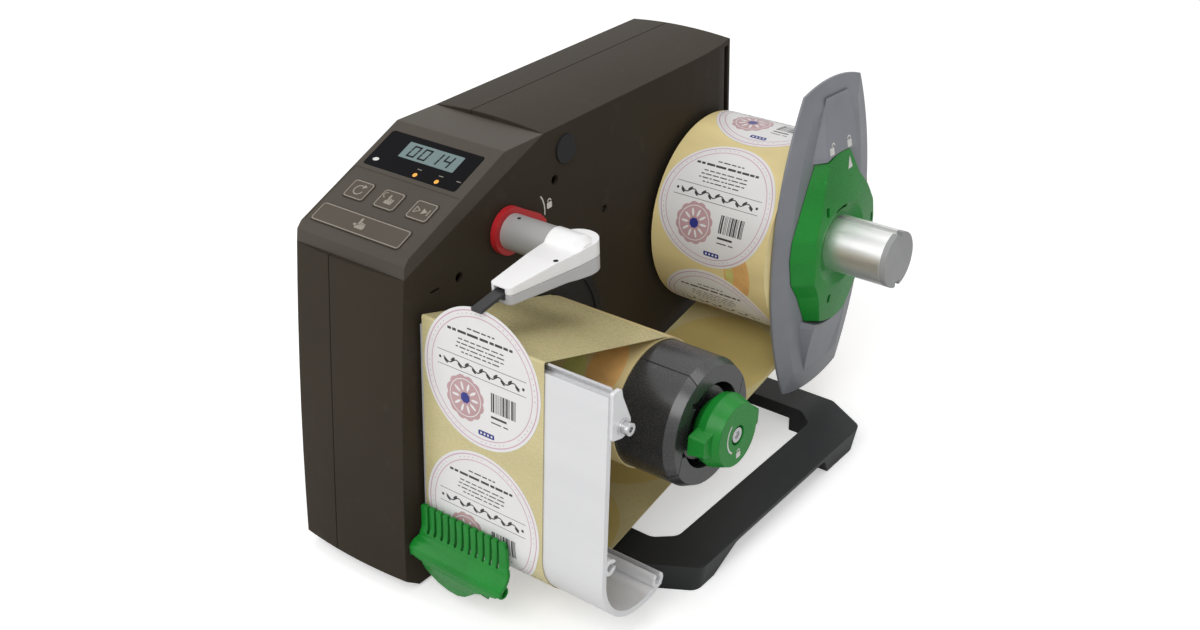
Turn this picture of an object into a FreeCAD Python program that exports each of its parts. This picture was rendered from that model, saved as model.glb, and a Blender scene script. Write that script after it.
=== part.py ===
import FreeCAD, Part
import math
import os
import re

# Label dispenser for one reel of labels on liner, with a motorised liner rewinder.
# Machine frame while modelling, in millimetres: X = 0 is the working face of the housing
# and +X runs out along the shafts, Y runs from the operator's side to the back, Z = 0 is
# the table. Every sub-part is shifted at the end, so that the origin of the finished
# machine is the centre of its outline on the table.

doc = FreeCAD.newDocument("LabelDispenser")
Vector = FreeCAD.Vector

SIZES = {
    # housing
    "housing_width": 84, "cover_width": 28.5, "housing_height": 242, "back_y": 315.5,
    "wall": 3, "crown": 2.5, "floor_gap": 2, "split_gap": 0.6, "nose_low": 22, "nose_foot_z": 10,
    "panel_back_y": 118, "panel_drop": 44, "panel_front_y": 4.9, "panel_front_drop": 32.9,
    "panel_bend_y": 85, "panel_wall": 2.6, "rear_taper": 48.5, "rear_taper_depth": 4.5,
    "plug_y": 136.7, "plug_drop": 15.3, "plug_diameter": 17.6,
    # operator panel
    "window_length": 72, "window_height": 29, "window_low": 50, "window_glass": 1.2,
    "lcd_length": 42.3, "lcd_height": 12.5, "lamp_size": 3, "key_size": 16, "key_tall": 14,
    "key_row": 24.5, "start_key_length": 69, "start_key_low": 3, "key_gap": 0.25,
    "key_proud": 0.15, "key_thickness": 3, "display_board_tall": 72,
    # supply reel
    "supply_y": 278.5, "supply_z": 138.2, "shaft_diameter": 36.6, "shaft_reach": 148,
    "end_cap_length": 4, "core_bore": 38.1, "core_wall": 3, "roll_diameter": 128.6,
    "media_inner_x": 4.2, "media_width": 86, "reel_disc_diameter": 112, "reel_disc_length": 2.6,
    # margin stop
    "stop_diameter": 213.4, "stop_width": 115, "stop_end_width": 67, "stop_thickness": 4.5,
    "stop_rim": 1.5, "stop_bevel": 15, "stop_gap": 0.5, "stop_lean": 3.4, "rib_width": 37,
    "rib_tip_width": 27, "rib_draft": 5, "rib_height": 7.5, "rib_reach": 97, "rib_low_reach": 91,
    "ring_reach": 61, "ring_low_reach": 55.5, "ring_length": 12, "ring_cone": 4.9,
    "ring_eye_diameter": 56, "ring_eye_depth": 3, "stop_hub_diameter": 46, "stop_hub_length": 6,
    # rewinder
    "drum_y": 100, "drum_z": 103.7, "drum_diameter": 76.6, "drum_reach": 129.3,
    "rewind_disc_diameter": 124, "liner_build": 0.9, "spindle_diameter": 20,
    "knob_gap": -2.3, "knob_length": 57, "knob_depth": 20, "knob_neck": 6, "knob_diameter": 44,
    "knob_face_diameter": 37.4, "knob_wing_height": 12, "knob_lean": 6, "screw_head": 9,
    "jaw_travel": 3, "jaw_width": 48, "jaw_gap": 0.5, "jaw_angle": 70, "drum_bevel": 6,
    "drum_face_diameter": 71, "drum_eye": 47, "drum_eye_depth": 5,
    "cam_long": 24, "cam_short": 18, "stem_diameter": 12,
    # dispensing plate
    "plate_length": 129, "plate_inner_x": 2.2, "plate_wall": 3.4, "plate_top_y": 6.5,
    "plate_drop": 72, "plate_lean": 4.9, "plate_foot_z": 22.4, "plate_bend": 32.4,
    "lip_y": 49.5, "lip_rise": 3.4, "peel_height": 5.5, "peel_thickness": 1.4,
    "channel_diameter": 9.6, "channel_bore": 5, "bracket_thickness": 2.4,
    # liner and labels
    "liner_thickness": 0.4, "soft_gap": 0.3, "label_diameter": 81, "label_pitch": 86.5,
    "label_thickness": 0.4, "label_low": 43,
    # sensor
    "sensor_y": 82, "sensor_drop": 46, "tube_diameter": 21.4, "tube_bore": 7, "arm_centre_x": 48,
    "arm_root_width": 24, "arm_tip_width": 14, "arm_tip_y": 22, "arm_rise": 6, "arm_fall": 12,
    "lock_diameter": 28.5, "lock_length": 4, "finger_width": 7, "finger_pin_y": 30,
    # foot
    "foot_reach": 137.4, "foot_bar": 29, "foot_height": 18.5, "foot_front_y": 64,
    "foot_back_y": 280, "foot_arm": 23.5, "foot_draft": 4, "foot_rail": 4, "foot_leg_front": 33,
    "foot_leg_back": 50, "foot_arm_lift": 9.5,
    # label brake
    "comb_length": 61.5, "comb_start": 6.5, "comb_y": -8.4, "comb_z": 37, "comb_rod_diameter": 5,
    "comb_slots": 10,
    # drive inside the housing
    "plate_thickness": 3, "belt_ratio": 2.5, "motor_pulley_diameter": 20, "motor_diameter": 42,
    "motor_length": 40, "motor_y": 130, "motor_z": 50, "belt_width": 9, "belt_thickness": 1.6,
    "bearing_diameter": 32, "bearing_length": 9, "running_gap": 0.05,
    # boards inside the housing
    "power_board_y": 164, "power_board_length": 110, "power_board_width": 50, "board_thickness": 1.6,
    "control_board_y": 142, "control_board_length": 116, "control_board_z": 62,
    # rear
    "inlet_proud": 3, "pad_diameter": 14,
}
DERIVED = {
    "origin_x": "=(shaft_reach - housing_width) / 2",
    "origin_y": "=(supply_y + roll_diameter / 2 - nose_low - crown) / 2",
    "panel_low_z": "=housing_height - panel_drop",
    "panel_front_z": "=housing_height - panel_front_drop",
    "plate_top_z": "=housing_height - plate_drop",
    "sensor_z": "=housing_height - sensor_drop",
    "plug_z": "=housing_height - plug_drop",
    "knob_back_x": "=drum_reach + knob_gap",
    "knob_front_x": "=drum_reach + knob_gap + knob_depth",
}

sizes = doc.addObject("Spreadsheet::Sheet", "Sizes")
for row, (word, amount) in enumerate({**SIZES, **DERIVED}.items(), 1):
    sizes.set(f"A{row}", word)
    sizes.set(f"B{row}", str(amount))
    sizes.setAlias(f"B{row}", word)
doc.recompute()
ALIASES = set(SIZES) | set(DERIVED)


def size(word):
    return float(sizes.get(word))


def bind(item, prop, rule):
    """Tie a property to a number or to a rule written in the sheet's words."""
    text = re.sub(r"[a-z]\w*", lambda m: "Sizes." + m[0] if m[0] in ALIASES else m[0], str(rule))
    item.setExpression(prop, text)


ALONG = {"X": FreeCAD.Rotation(Vector(0, 1, 0), 90), "Y": FreeCAD.Rotation(Vector(1, 0, 0), -90),
         "Z": FreeCAD.Rotation()}
ACROSS = FreeCAD.Rotation(Vector(1, 1, 1), 120)
NODES = []


def place(item, x, y, z, turn=None):
    if turn:
        item.Placement.Rotation = turn
    for letter, rule in (("x", x), ("y", y), ("z", z)):
        bind(item, "Placement.Base." + letter, rule)
    return item


def box(name, x, y, z, length, width, height):
    item = doc.addObject("Part::Box", name)
    for prop, rule in (("Length", length), ("Width", width), ("Height", height)):
        bind(item, prop, rule)
    return place(item, x, y, z)


def rod(name, diameter, length, x, y, z, axis="X"):
    item = doc.addObject("Part::Cylinder", name)
    bind(item, "Radius", f"({diameter}) / 2")
    bind(item, "Height", length)
    return place(item, x, y, z, ALONG[axis])


def cone(name, first, second, length, x, y, z, axis="X"):
    item = doc.addObject("Part::Cone", name)
    bind(item, "Radius1", f"({first}) / 2")
    bind(item, "Radius2", f"({second}) / 2")
    bind(item, "Height", length)
    return place(item, x, y, z, ALONG[axis])


def fuse(name, *pieces):
    item = doc.addObject("Part::MultiFuse", name)
    item.Shapes = list(pieces)
    return item


def common(name, *pieces):
    item = doc.addObject("Part::MultiCommon", name)
    item.Shapes = list(pieces)
    return item


def cut(name, base, *tools):
    item = doc.addObject("Part::Cut", name)
    item.Base = base
    item.Tool = tools[0] if len(tools) == 1 else fuse(name + "Tools", *tools)
    return item


def tube(name, outer, inner, length, x, y, z, axis="X"):
    """A round tube: its bore runs past both ends."""
    centre = {"X": (f"({x}) - 1", y, z), "Y": (x, f"({y}) - 1", z), "Z": (x, y, f"({z}) - 1")}[axis]
    return cut(name, rod(name + "Outer", outer, length, x, y, z, axis),
               rod(name + "Bore", inner, f"({length}) + 2", *centre, axis))


def rounded(points, closed=True):
    """Lines and arcs through corner points (u, v) or (u, v, corner radius)."""
    corners = []
    count = len(points)
    for index, point in enumerate(points):
        here = Vector(point[0], point[1], 0)
        radius = point[2] if len(point) > 2 else 0
        at_end = not closed and index in (0, count - 1)
        if radius <= 0 or at_end:
            corners.append((here, None, here))
            continue
        before = Vector(*points[index - 1][:2], 0) - here
        after = Vector(*points[(index + 1) % count][:2], 0) - here
        half = before.getAngle(after) / 2
        reach = radius / math.tan(half)
        first = here + before.normalize() * reach
        last = here + after.normalize() * reach
        toward = (before + after).normalize()
        middle = here + toward * (radius / math.sin(half) - radius)
        corners.append((first, middle, last))
    edges = []
    for index, (first, middle, last) in enumerate(corners):
        if middle is not None:
            edges.append(Part.Arc(first, middle, last))
        if closed or index < count - 1:
            following = corners[(index + 1) % count][0]
            if last.distanceToPoint(following) > 1e-6:
                edges.append(Part.LineSegment(last, following))
    return edges


def offset_path(points, shift):
    """An open cornered path moved sideways, to its left where shift is positive."""
    moved = []
    for index, point in enumerate(points):
        here = Vector(point[0], point[1], 0)
        radius = point[2] if len(point) > 2 else 0
        legs = []
        if index > 0:
            legs.append((here - Vector(*points[index - 1][:2], 0)).normalize())
        if index < len(points) - 1:
            legs.append((Vector(*points[index + 1][:2], 0) - here).normalize())
        normals = [Vector(-leg.y, leg.x, 0) for leg in legs]
        if len(legs) == 1:
            spot = here + normals[0] * shift
            radius = 0
        else:
            bisector = (normals[0] + normals[1]).normalize()
            spot = here + bisector * (shift / bisector.dot(normals[0]))
            left_turn = legs[0].cross(legs[1]).z > 0
            radius = max(radius - shift if left_turn else radius + shift, 0) if radius else 0
        moved.append((spot.x, spot.y, radius))
    return moved


def ribbon(points, first_side, second_side):
    """Closed outline of a sheet that follows an open path between two sideways shifts."""
    there = offset_path(points, first_side)
    back = offset_path(points, second_side)[::-1]
    return rounded(there + back)


def sketch(name, edges, base, turn):
    item = doc.addObject("Sketcher::SketchObject", name)
    item.addGeometry(edges, False)
    item.Placement = FreeCAD.Placement(base, turn)
    return item


def extrude(name, flat, length):
    item = doc.addObject("Part::Extrusion", name)
    item.Base = flat
    item.DirMode = "Normal"
    item.Solid = True
    bind(item, "LengthFwd", length)
    return item


def prism(name, edges, x, length):
    """An outline in Y and Z, extruded along +X from the rule x."""
    flat = sketch(name + "Outline", edges, Vector(), ACROSS)
    bind(flat, "Placement.Base.x", x)
    return extrude(name, flat, length)


def slab(name, edges, z, height):
    """An outline in X and Y, extruded along +Z from the rule z."""
    flat = sketch(name + "Outline", edges, Vector(), FreeCAD.Rotation())
    bind(flat, "Placement.Base.z", z)
    return extrude(name, flat, height)


def loft(name, *flats):
    item = doc.addObject("Part::Loft", name)
    item.Sections = list(flats)
    item.Solid = True
    item.Ruled = False
    return item


def circle(y, z, diameter):
    return [Part.Circle(Vector(y, z, 0), Vector(0, 0, 1), diameter / 2)]


def node(label, *pieces):
    """One sub-part: its solids, gathered under the name of its file."""
    item = doc.addObject("Part::Compound", "Node_" + label)
    item.Label = label
    item.Links = list(pieces)
    place(item, "-origin_x", "-origin_y", 0)
    NODES.append(item)
    return item


def tangent_from(spot, centre, radius, side):
    """Where a line from a spot touches a circle; side is 1 or -1."""
    away = Vector(spot[0] - centre[0], spot[1] - centre[1], 0)
    swing = math.acos(radius / away.Length) * side
    start = math.atan2(away.y, away.x) + swing
    return centre[0] + radius * math.cos(start), centre[1] + radius * math.sin(start)


def turned(points, degrees, centre):
    """Corner points (y, z) or (y, z, radius) round (0, 0), turned and then moved to a centre."""
    swing = math.radians(degrees)
    moved = []
    for y, z, *radius in points:
        moved.append((centre[0] + y * math.cos(swing) - z * math.sin(swing),
                      centre[1] + y * math.sin(swing) + z * math.cos(swing), *radius))
    return moved


# Housing

W = size("housing_width")
WALL = size("wall")
BACK = size("back_y")
TOP = size("housing_height")
SUPPLY = (size("supply_y"), size("supply_z"))
DRUM = (size("drum_y"), size("drum_z"))


def side_outline(crown, inset=0.0):
    """The housing seen from the side; the nose bulges forward as one smooth curve."""
    low = size("floor_gap") + inset
    seat_y = size("panel_back_y")
    seat_z = size("panel_low_z")
    nose = -size("nose_low") - crown + inset
    foot = size("nose_foot_z") + inset
    corners = [Vector(inset - crown, seat_z - inset, 0), Vector(seat_y, TOP + crown - inset, 0),
               Vector(BACK - inset, TOP + crown - inset, 0), Vector(BACK - inset, low, 0),
               Vector(nose + foot, low, 0), Vector(nose, foot, 0)]
    edges = [Part.LineSegment(a, b) for a, b in zip(corners, corners[1:])]
    middle = Vector(nose * 0.43, (seat_z + foot) * 0.635, 0)
    edges.append(Part.Arc(corners[-1], middle, corners[0]))
    return edges


def housing_block(name, crown, inset=0.0):
    flats = []
    for index, (x, rise) in enumerate(((0, 0), (-W / 2, crown), (-W, 0))):
        flats.append(sketch(f"{name}Section{index}", side_outline(rise, inset), Vector(x, 0, 0), ACROSS))
    return loft(name, *flats)


def panel_outline():
    """The wedge that carries the operator panel, seen from the side."""
    seat = (size("panel_back_y"), TOP)
    bend = (size("panel_bend_y"), TOP + 0.6, 3)
    front = (size("panel_front_y"), size("panel_front_z"), 2)
    return [seat, bend, front, (1.5, size("panel_front_z") - 3.6), (0, size("panel_low_z"))]


def seat_cutter(name):
    """Everything above the slanted seat of the operator panel."""
    seat_y = size("panel_back_y")
    low = size("panel_low_z")
    edges = rounded([(seat_y, TOP), (seat_y, TOP + 30), (-60, TOP + 30), (-60, low), (0, low)])
    return prism(name, edges, "-housing_width - 5", "housing_width + 10")


def shell_cavity(name, x, length):
    """The hollow of a housing half, one wall inside its outline."""
    flat = prism(name, side_outline(0, WALL), x, length)
    return cut(name + "UnderSeat", flat, prism(name + "Seat", rounded(
        [(size("panel_back_y") + WALL, TOP - WALL), (-60, TOP - WALL), (-60, size("panel_low_z") - 48),
         (-WALL * 2, size("panel_low_z") - WALL * 1.3)]), x, length))


def rear_taper():
    """The working face falls back in flats towards the rear edge."""
    run = size("rear_taper")
    deep = size("rear_taper_depth")
    start = BACK - run
    edges = rounded([(0, start), (-deep * 0.13, start + run * 0.33), (-deep * 0.36, start + run * 0.66),
                     (-deep, BACK), (-deep, BACK + 9), (9, BACK + 9), (9, start)])
    return slab("RearTaper", edges, -10, "housing_height + 30")


def main_housing():
    half = box("MainHalf", "-(housing_width - cover_width)", -80, -10,
               "housing_width - cover_width + 5", 500, 400)
    shell = cut("MainShell", common("MainBlock", housing_block("MainBody", size("crown")), half),
                seat_cutter("MainSeat"), shell_cavity("MainCavity", "-housing_width", "housing_width - wall"),
                rear_taper())
    holes = [
        rod("SupplyPort", "bearing_diameter + 14", 20, -10, "supply_y", "supply_z"),
        rod("RewindPort", "bearing_diameter + 2", 20, -10, "drum_y", "drum_z"),
        rod("SensorPort", "tube_diameter - 5.8", 20, -10, "sensor_y", "sensor_z"),
        rod("PlugPort", "plug_diameter - 1.6", 20, -10, "plug_y", "plug_z"),
        rod("ServiceHoleTop", 6, 20, -10, "plug_y - 10.7", "plug_z - 16.2"),
        rod("ServiceHoleBack", 5, 20, -10, "plug_y + 35.1", "plug_z - 52.1"),
        rod("ServiceHoleFront", 6, 20, -10, 41.4, "panel_low_z - 15.4"),
        rod("BrakeRodPort", "comb_rod_diameter", 20, -2.6, "comb_y - 6", "comb_z - 6"),
        rod("FootScrewPortFront", 6, 20, -10, "foot_front_y + 12", 12),
        rod("FootScrewPortBack", 6, 20, -10, "foot_back_y - 12", 12),
        on_panel("MainAccess", -79.5, 3, 30, 75, 74, 40, 3),
        box("ServiceSlot", -10, 18.5, "panel_low_z - 16", 20, 7, 1.4),
        box("InletPort", -47, "back_y - 10", 30, 27.6, 20, 20),
        box("SwitchPort", -47, "back_y - 10", 58, 13, 20, 19.4),
        box("SignalPort", -47, "back_y - 10", 92, 19, 20, 10.4),
    ]
    node("main_housing", cut("MainHousing", shell, *holes))


COVER_SCREWS = ((40, 150), (295, 222), (295, 20), (20, 20))


def side_cover():
    half = box("CoverHalf", "-housing_width - 5", -80, -10, "cover_width + 5 - split_gap", 500, 400)
    shell = cut("CoverShell", common("CoverBlock", housing_block("CoverBody", size("crown")), half),
                seat_cutter("CoverSeat"), shell_cavity("CoverCavity", "-housing_width + wall", "housing_width"))
    slots = []
    for row in range(9):
        slots.append(box(f"CoverVent{row + 1}", "-housing_width - 5", 200, 40 + row * 8, 20, 70, 3.5))
    seats = [rod(f"CoverScrewSeat{index}", 8.4, 20, "-housing_width - 17.9", y, z)
             for index, (y, z) in enumerate(COVER_SCREWS, 1)]
    access = on_panel("CoverAccess", -79.5, 3, 30, 75, 74, 40, 3)
    node("side_cover", cut("SideCover", shell, *slots, *seats, access))


def housing_details():
    node("side_plug", fuse("SidePlug", rod("PlugHead", "plug_diameter", 1.2, 0, "plug_y", "plug_z"),
                           rod("PlugStem", "plug_diameter - 1.8", 5, -5, "plug_y", "plug_z")))
    heads = []
    for index, (y, z) in enumerate(COVER_SCREWS, 1):
        heads.append(cut(f"CoverScrew{index}", rod(f"CoverScrewHead{index}", 8, 1.9, "-housing_width + 0.2", y, z),
                         rod(f"CoverScrewDrive{index}", 3.5, 3, "-housing_width - 1.6", y, z)))
    node("cover_screws", *heads)
    feet = []
    for index, (x, y) in enumerate(((-70, 14), (-14, 14), (-70, 296), (-14, 296)), 1):
        feet.append(cone(f"HousingFoot{index}", "pad_diameter - 2", "pad_diameter", "floor_gap", x, y, 0, "Z"))
    node("housing_feet", *feet)


# Operator panel

PANEL_FOOT = Vector(0, size("panel_front_y"), size("panel_front_z"))
PANEL_TILT = math.degrees(math.atan2(TOP + 0.6 - PANEL_FOOT.z, size("panel_bend_y") - PANEL_FOOT.y))
PANEL_TURN = FreeCAD.Rotation(Vector(1, 0, 0), PANEL_TILT)


def on_panel(name, x, up, depth, length, tall, thick, corner=0.0):
    """A plate in the panel's slope: x, distance up the slope and depth of its lower face."""
    right, high = x + length, up + tall
    corners = [(x, up, corner), (right, up, corner), (right, high, corner), (x, high, corner)]
    base = PANEL_FOOT + PANEL_TURN.multVec(Vector(0, 0, -depth))
    flat = sketch(name + "Outline", rounded(corners), base, PANEL_TURN)
    return extrude(name, flat, thick)


KEYS = {
    "key_clear": (-74, size("key_row"), size("key_size"), size("key_tall")),
    "key_step": (-50, size("key_row"), size("key_size"), size("key_tall")),
    "key_feed": (-25, size("key_row"), size("key_size"), size("key_tall")),
    "key_start": (-80, size("start_key_low"), size("start_key_length"), size("key_tall")),
}


LAMPS = ((-42.2, 51.5), (-25.7, 51.5), (-75.3, 54))


def control_panel():
    block = prism("PanelBlock", rounded(panel_outline()), "-housing_width", "housing_width")
    skin = size("panel_wall")
    seat = (size("panel_back_y") - 12, TOP - skin - 3.4)
    low = size("panel_low_z")
    hollow = rounded([seat, (size("panel_bend_y"), TOP - skin), (size("panel_front_y") + 3.4,
                      size("panel_front_z") - skin), (4.6, low + 4.6), (3.4, low - 8), (seat[0], low + 27)])
    cavity = prism("PanelCavity", hollow, "-housing_width + panel_wall", "housing_width - 2 * panel_wall")
    glass_length = size("window_length")
    window = on_panel("WindowSeat", -80, size("window_low"), size("window_glass") + 0.1, glass_length,
                      size("window_height"), 10, 2)
    sight = on_panel("DisplaySight", -64, size("window_low") + 10.5, 12, size("lcd_length") + 4,
                     size("lcd_height") + 4, 20)
    pad = on_panel("KeypadRecess", -83.2, 1.6, 0.3, W - 1.6, size("window_low") - 4.6, 5, 2)
    tools = [cavity, window, sight, pad]
    lamp = size("lamp_size")
    tools += [on_panel(f"LampPort{index}", x - 0.1, up - 0.1, 12, lamp + 0.2, lamp + 0.2, 20)
              for index, (x, up) in enumerate(LAMPS, 1)]
    for name, (x, up, length, tall) in KEYS.items():
        gap = size("key_gap")
        tools.append(on_panel(name + "_port", x - gap, up - gap, 14, length + 2 * gap, tall + 2 * gap, 20, 2.4))
    node("control_panel", cut("ControlPanel", block, *tools))
    window_gap = 0.2
    glass = on_panel("WindowGlass", -80 + window_gap, size("window_low") + window_gap, size("window_glass"),
                     glass_length - 2 * window_gap, size("window_height") - 2 * window_gap,
                     size("window_glass"), 1.8)
    node("display_window", glass)
    lcd_up = size("window_low") + 12
    module = on_panel("LcdBack", -62, lcd_up, 6.2, size("lcd_length"), size("lcd_height"), 3)
    bezel = on_panel("LcdFrame", -63.2, lcd_up - 1.2, 8.2, size("lcd_length") + 2.4,
                     size("lcd_height") + 2.4, 2)
    node("lcd_module", fuse("LcdModule", module, bezel))
    board = on_panel("DisplayBoard", -79, 4, 9.8, W - 10, size("display_board_tall"), size("board_thickness"))
    node("display_board", board)
    switches = []
    for name, (x, up, length, tall) in KEYS.items():
        body = on_panel(name + "_switch_body", x + length / 2 - 3, up + tall / 2 - 3, 8.2, 6, 6, 2.4)
        dome = on_panel(name + "_switch_dome", x + length / 2 - 1.5, up + tall / 2 - 1.5, 5.8, 3, 3, 1.6)
        switches.append(fuse(name + "_switch", body, dome))
    node("key_switches", *switches)
    lamps = [on_panel(f"Lamp{index}", x, up, 8.2, lamp, lamp, 6.6)
             for index, (x, up) in enumerate(LAMPS, 1)]
    node("led_lamps", *lamps)


def panel_keys():
    for name, (x, up, length, tall) in KEYS.items():
        cap = on_panel(name + "_cap", x, up, size("key_thickness") - size("key_proud"), length, tall,
                       size("key_thickness"), 2)
        node(name, cap)


# Supply reel

def supply_reel():
    y, z = SUPPLY
    shaft_length = size("shaft_reach") - size("end_cap_length")
    shaft = rod("ShaftBar", "shaft_diameter", shaft_length, 0, "supply_y", "supply_z")
    journal = rod("ShaftJournal", "spindle_diameter - 3", 30, -30, "supply_y", "supply_z")
    grooves = []
    for index, sign in enumerate((1, -1), 1):
        middle = sign * size("shaft_diameter") / 2
        grooves.append(box(f"ShaftGroove{index}", 6, "supply_y - 2.5", z + middle - (3 if sign > 0 else 0),
                           200, 5, 3))
    bore = rod("ShaftHollow", "shaft_diameter - 9", 200, 12, "supply_y", "supply_z")
    node("supply_shaft", cut("SupplyShaft", fuse("ShaftSolid", shaft, journal), bore, *grooves))
    face = rod("CapDisc", "shaft_diameter", "end_cap_length", shaft_length, "supply_y", "supply_z")
    spigot = rod("CapSpigot", "shaft_diameter - 9.2", 12, shaft_length - 12, "supply_y", "supply_z")
    edge = size("shaft_diameter") / 2 - 1.5
    notches = [box(f"CapNotch{index}", shaft_length - 1, "supply_y - 2.5", z + sign * edge - 1.5, 20, 5, 3)
               for index, sign in enumerate((1, -1), 1)]
    node("shaft_end_cap", cut("ShaftEndCap", fuse("CapSolid", face, spigot), *notches))
    disc = rod("ReelDisc", "reel_disc_diameter", "reel_disc_length", 1, "supply_y", "supply_z")
    hub = rod("ReelHub", "shaft_diameter + 14", 0.6, 0.4, "supply_y", "supply_z")
    lighten = []
    spread = size("reel_disc_diameter") * 0.34
    for index in range(6):
        angle = math.radians(60 * index)
        lighten.append(rod(f"ReelHole{index + 1}", "reel_disc_diameter * 0.16", 10, -2,
                           y + spread * math.cos(angle), z + spread * math.sin(angle)))
    shaft_bore = rod("ReelBore", "shaft_diameter + 2 * running_gap", 20, -5, "supply_y", "supply_z")
    node("reel_disc", cut("ReelDiscBody", fuse("ReelDiscSolid", disc, hub), shaft_bore,
                          *lighten))
    core = tube("CoreTube", "core_bore + 2 * core_wall", "core_bore", "media_width", "media_inner_x",
                "supply_y", "supply_z")
    node("roll_core", core)
    roll = tube("RollBody", "roll_diameter", "core_bore + 2 * core_wall", "media_width", "media_inner_x",
                "supply_y", "supply_z")
    node("label_roll", roll)


def stop_outline(inset=0.0):
    """The margin stop seen along the shaft: two long side arcs and two end arcs."""
    y, z = SUPPLY
    radius = size("stop_diameter") / 2 - inset
    end = size("stop_end_width") / 2 - inset * 0.4
    tip = math.sqrt(radius ** 2 - end ** 2)
    half = size("stop_width") / 2 - inset
    corners = [Vector(y + end, z + tip, 0), Vector(y - end, z + tip, 0),
               Vector(y - end, z - tip, 0), Vector(y + end, z - tip, 0)]
    middles = [Vector(y, z + radius, 0), Vector(y - half, z, 0), Vector(y, z - radius, 0),
               Vector(y + half, z, 0)]
    return [Part.Arc(corners[i], middles[i], corners[(i + 1) % 4]) for i in range(4)]


STOP_START = size("media_inner_x") + size("media_width") + size("stop_gap")
STOP_FACE = STOP_START + size("stop_thickness")


def stop_rib(name, side, near, far):
    """A ramp on the stop's centre line: full height beside the lock ring, flat at its tip."""
    y, z = SUPPLY
    tip = size("rib_tip_width") / 2
    near_z, far_z = z + side * near, z + side * far
    top = STOP_FACE + size("rib_height")
    flats = []
    for index, (x, root) in enumerate(((STOP_FACE, size("rib_width") / 2 + size("rib_draft")),
                                       (top, size("rib_width") / 2)), 1):
        plan = rounded([(y - root, near_z - 8 * side), (y - root, near_z), (y - tip, far_z), (y + tip, far_z),
                        (y + root, near_z), (y + root, near_z - 8 * side)])
        flats.append(sketch(f"{name}Plan{index}", plan, Vector(x, 0, 0), ACROSS))
    block = loft(name + "Block", *flats)
    block.Ruled = True
    edges = rounded([(STOP_FACE - 1, near_z - 9 * side), (top, near_z - 9 * side), (top, near_z),
                     (STOP_FACE, far_z), (STOP_FACE - 1, far_z)])
    flat = sketch(name + "Ramp", edges, Vector(0, y + 50, 0), FreeCAD.Rotation(Vector(1, 0, 0), 90))
    hollow = rod(name + "End", 2 * near, 30, STOP_FACE, "supply_y", "supply_z")
    ramp = cut(name + "Wedge", common(name + "Form", block, extrude(name + "RampBody", flat, 100)), hollow)
    seat = box(name + "Seat", STOP_FACE - 0.5, y - tip + 2, min(near_z + 3 * side, far_z - 3 * side),
               0.5, 2 * tip - 4, far - near - 6)
    return fuse(name, ramp, seat)


def margin_stop():
    y, z = SUPPLY
    rim = size("stop_rim")
    flats = [sketch(f"StopPlan{index}", stop_outline(inset), Vector(x, 0, 0), ACROSS)
             for index, (x, inset) in enumerate(((STOP_START + rim, 0), (STOP_FACE, size("stop_bevel"))), 1)]
    crown = loft("StopCrown", *flats)
    crown.Ruled = True
    base = prism("StopRim", stop_outline(), STOP_START, "stop_rim")
    hub = rod("StopHub", "stop_hub_diameter", "stop_hub_length", STOP_FACE - 0.2, "supply_y", "supply_z")
    ribs = [stop_rib("StopRibHigh", 1, size("ring_reach") + 0.4, size("rib_reach")),
            stop_rib("StopRibLow", -1, size("ring_low_reach") + 0.5, size("rib_low_reach"))]
    bore = rod("StopBore", "shaft_diameter + 2 * running_gap", 60, STOP_START - 10, "supply_y", "supply_z")
    stop = cut("MarginStop", fuse("StopSolid", base, crown, hub, *ribs), bore)
    lean = FreeCAD.Rotation(Vector(1, 0, 0), -size("stop_lean"))
    stop.Placement = FreeCAD.Placement(Vector(), lean, Vector(0, y, z))
    node("margin_stop_flange", stop)


# The lock ring's outline about the shaft, as (y, z, corner radius) shares of its reach
RING_SHAPE = (
    (-0.287, 0.957, 0.03), (-0.148, 0.989), (-0.033, 0.999), (0.098, 0.995), (0.213, 0.977, 0.03),
    (0.377, 0.672, 0.1), (0.574, 0.459, 0.13), (0.721, 0.23, 0.13), (0.754, 0, 0.16), (0.689, -0.262, 0.13),
    (0.541, -0.475, 0.13), (0.393, -0.623, 0.1), (0.246, -0.875, 0.03), (0.131, -0.9), (0, -0.91),
    (-0.131, -0.9), (-0.262, -0.87), (-0.377, -0.828, 0.03), (-0.541, -0.475, 0.13), (-0.672, -0.279, 0.13),
    (-0.715, 0, 0.16), (-0.689, 0.213, 0.13), (-0.607, 0.37, 0.13), (-0.426, 0.721, 0.1))


def ring_outline(slope):
    """The lock ring's outline; slope draws its operator side in, most beside the shaft."""
    y, z = SUPPLY
    reach = size("ring_reach")
    corners = []
    for across, up, *corner in RING_SHAPE:
        if across < 0:
            across += slope * min(0.213 - 0.085 * abs(up), -across * 2)
        corners.append((y + reach * across, z + reach * up, *[reach * share for share in corner]))
    return rounded(corners)


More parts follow.
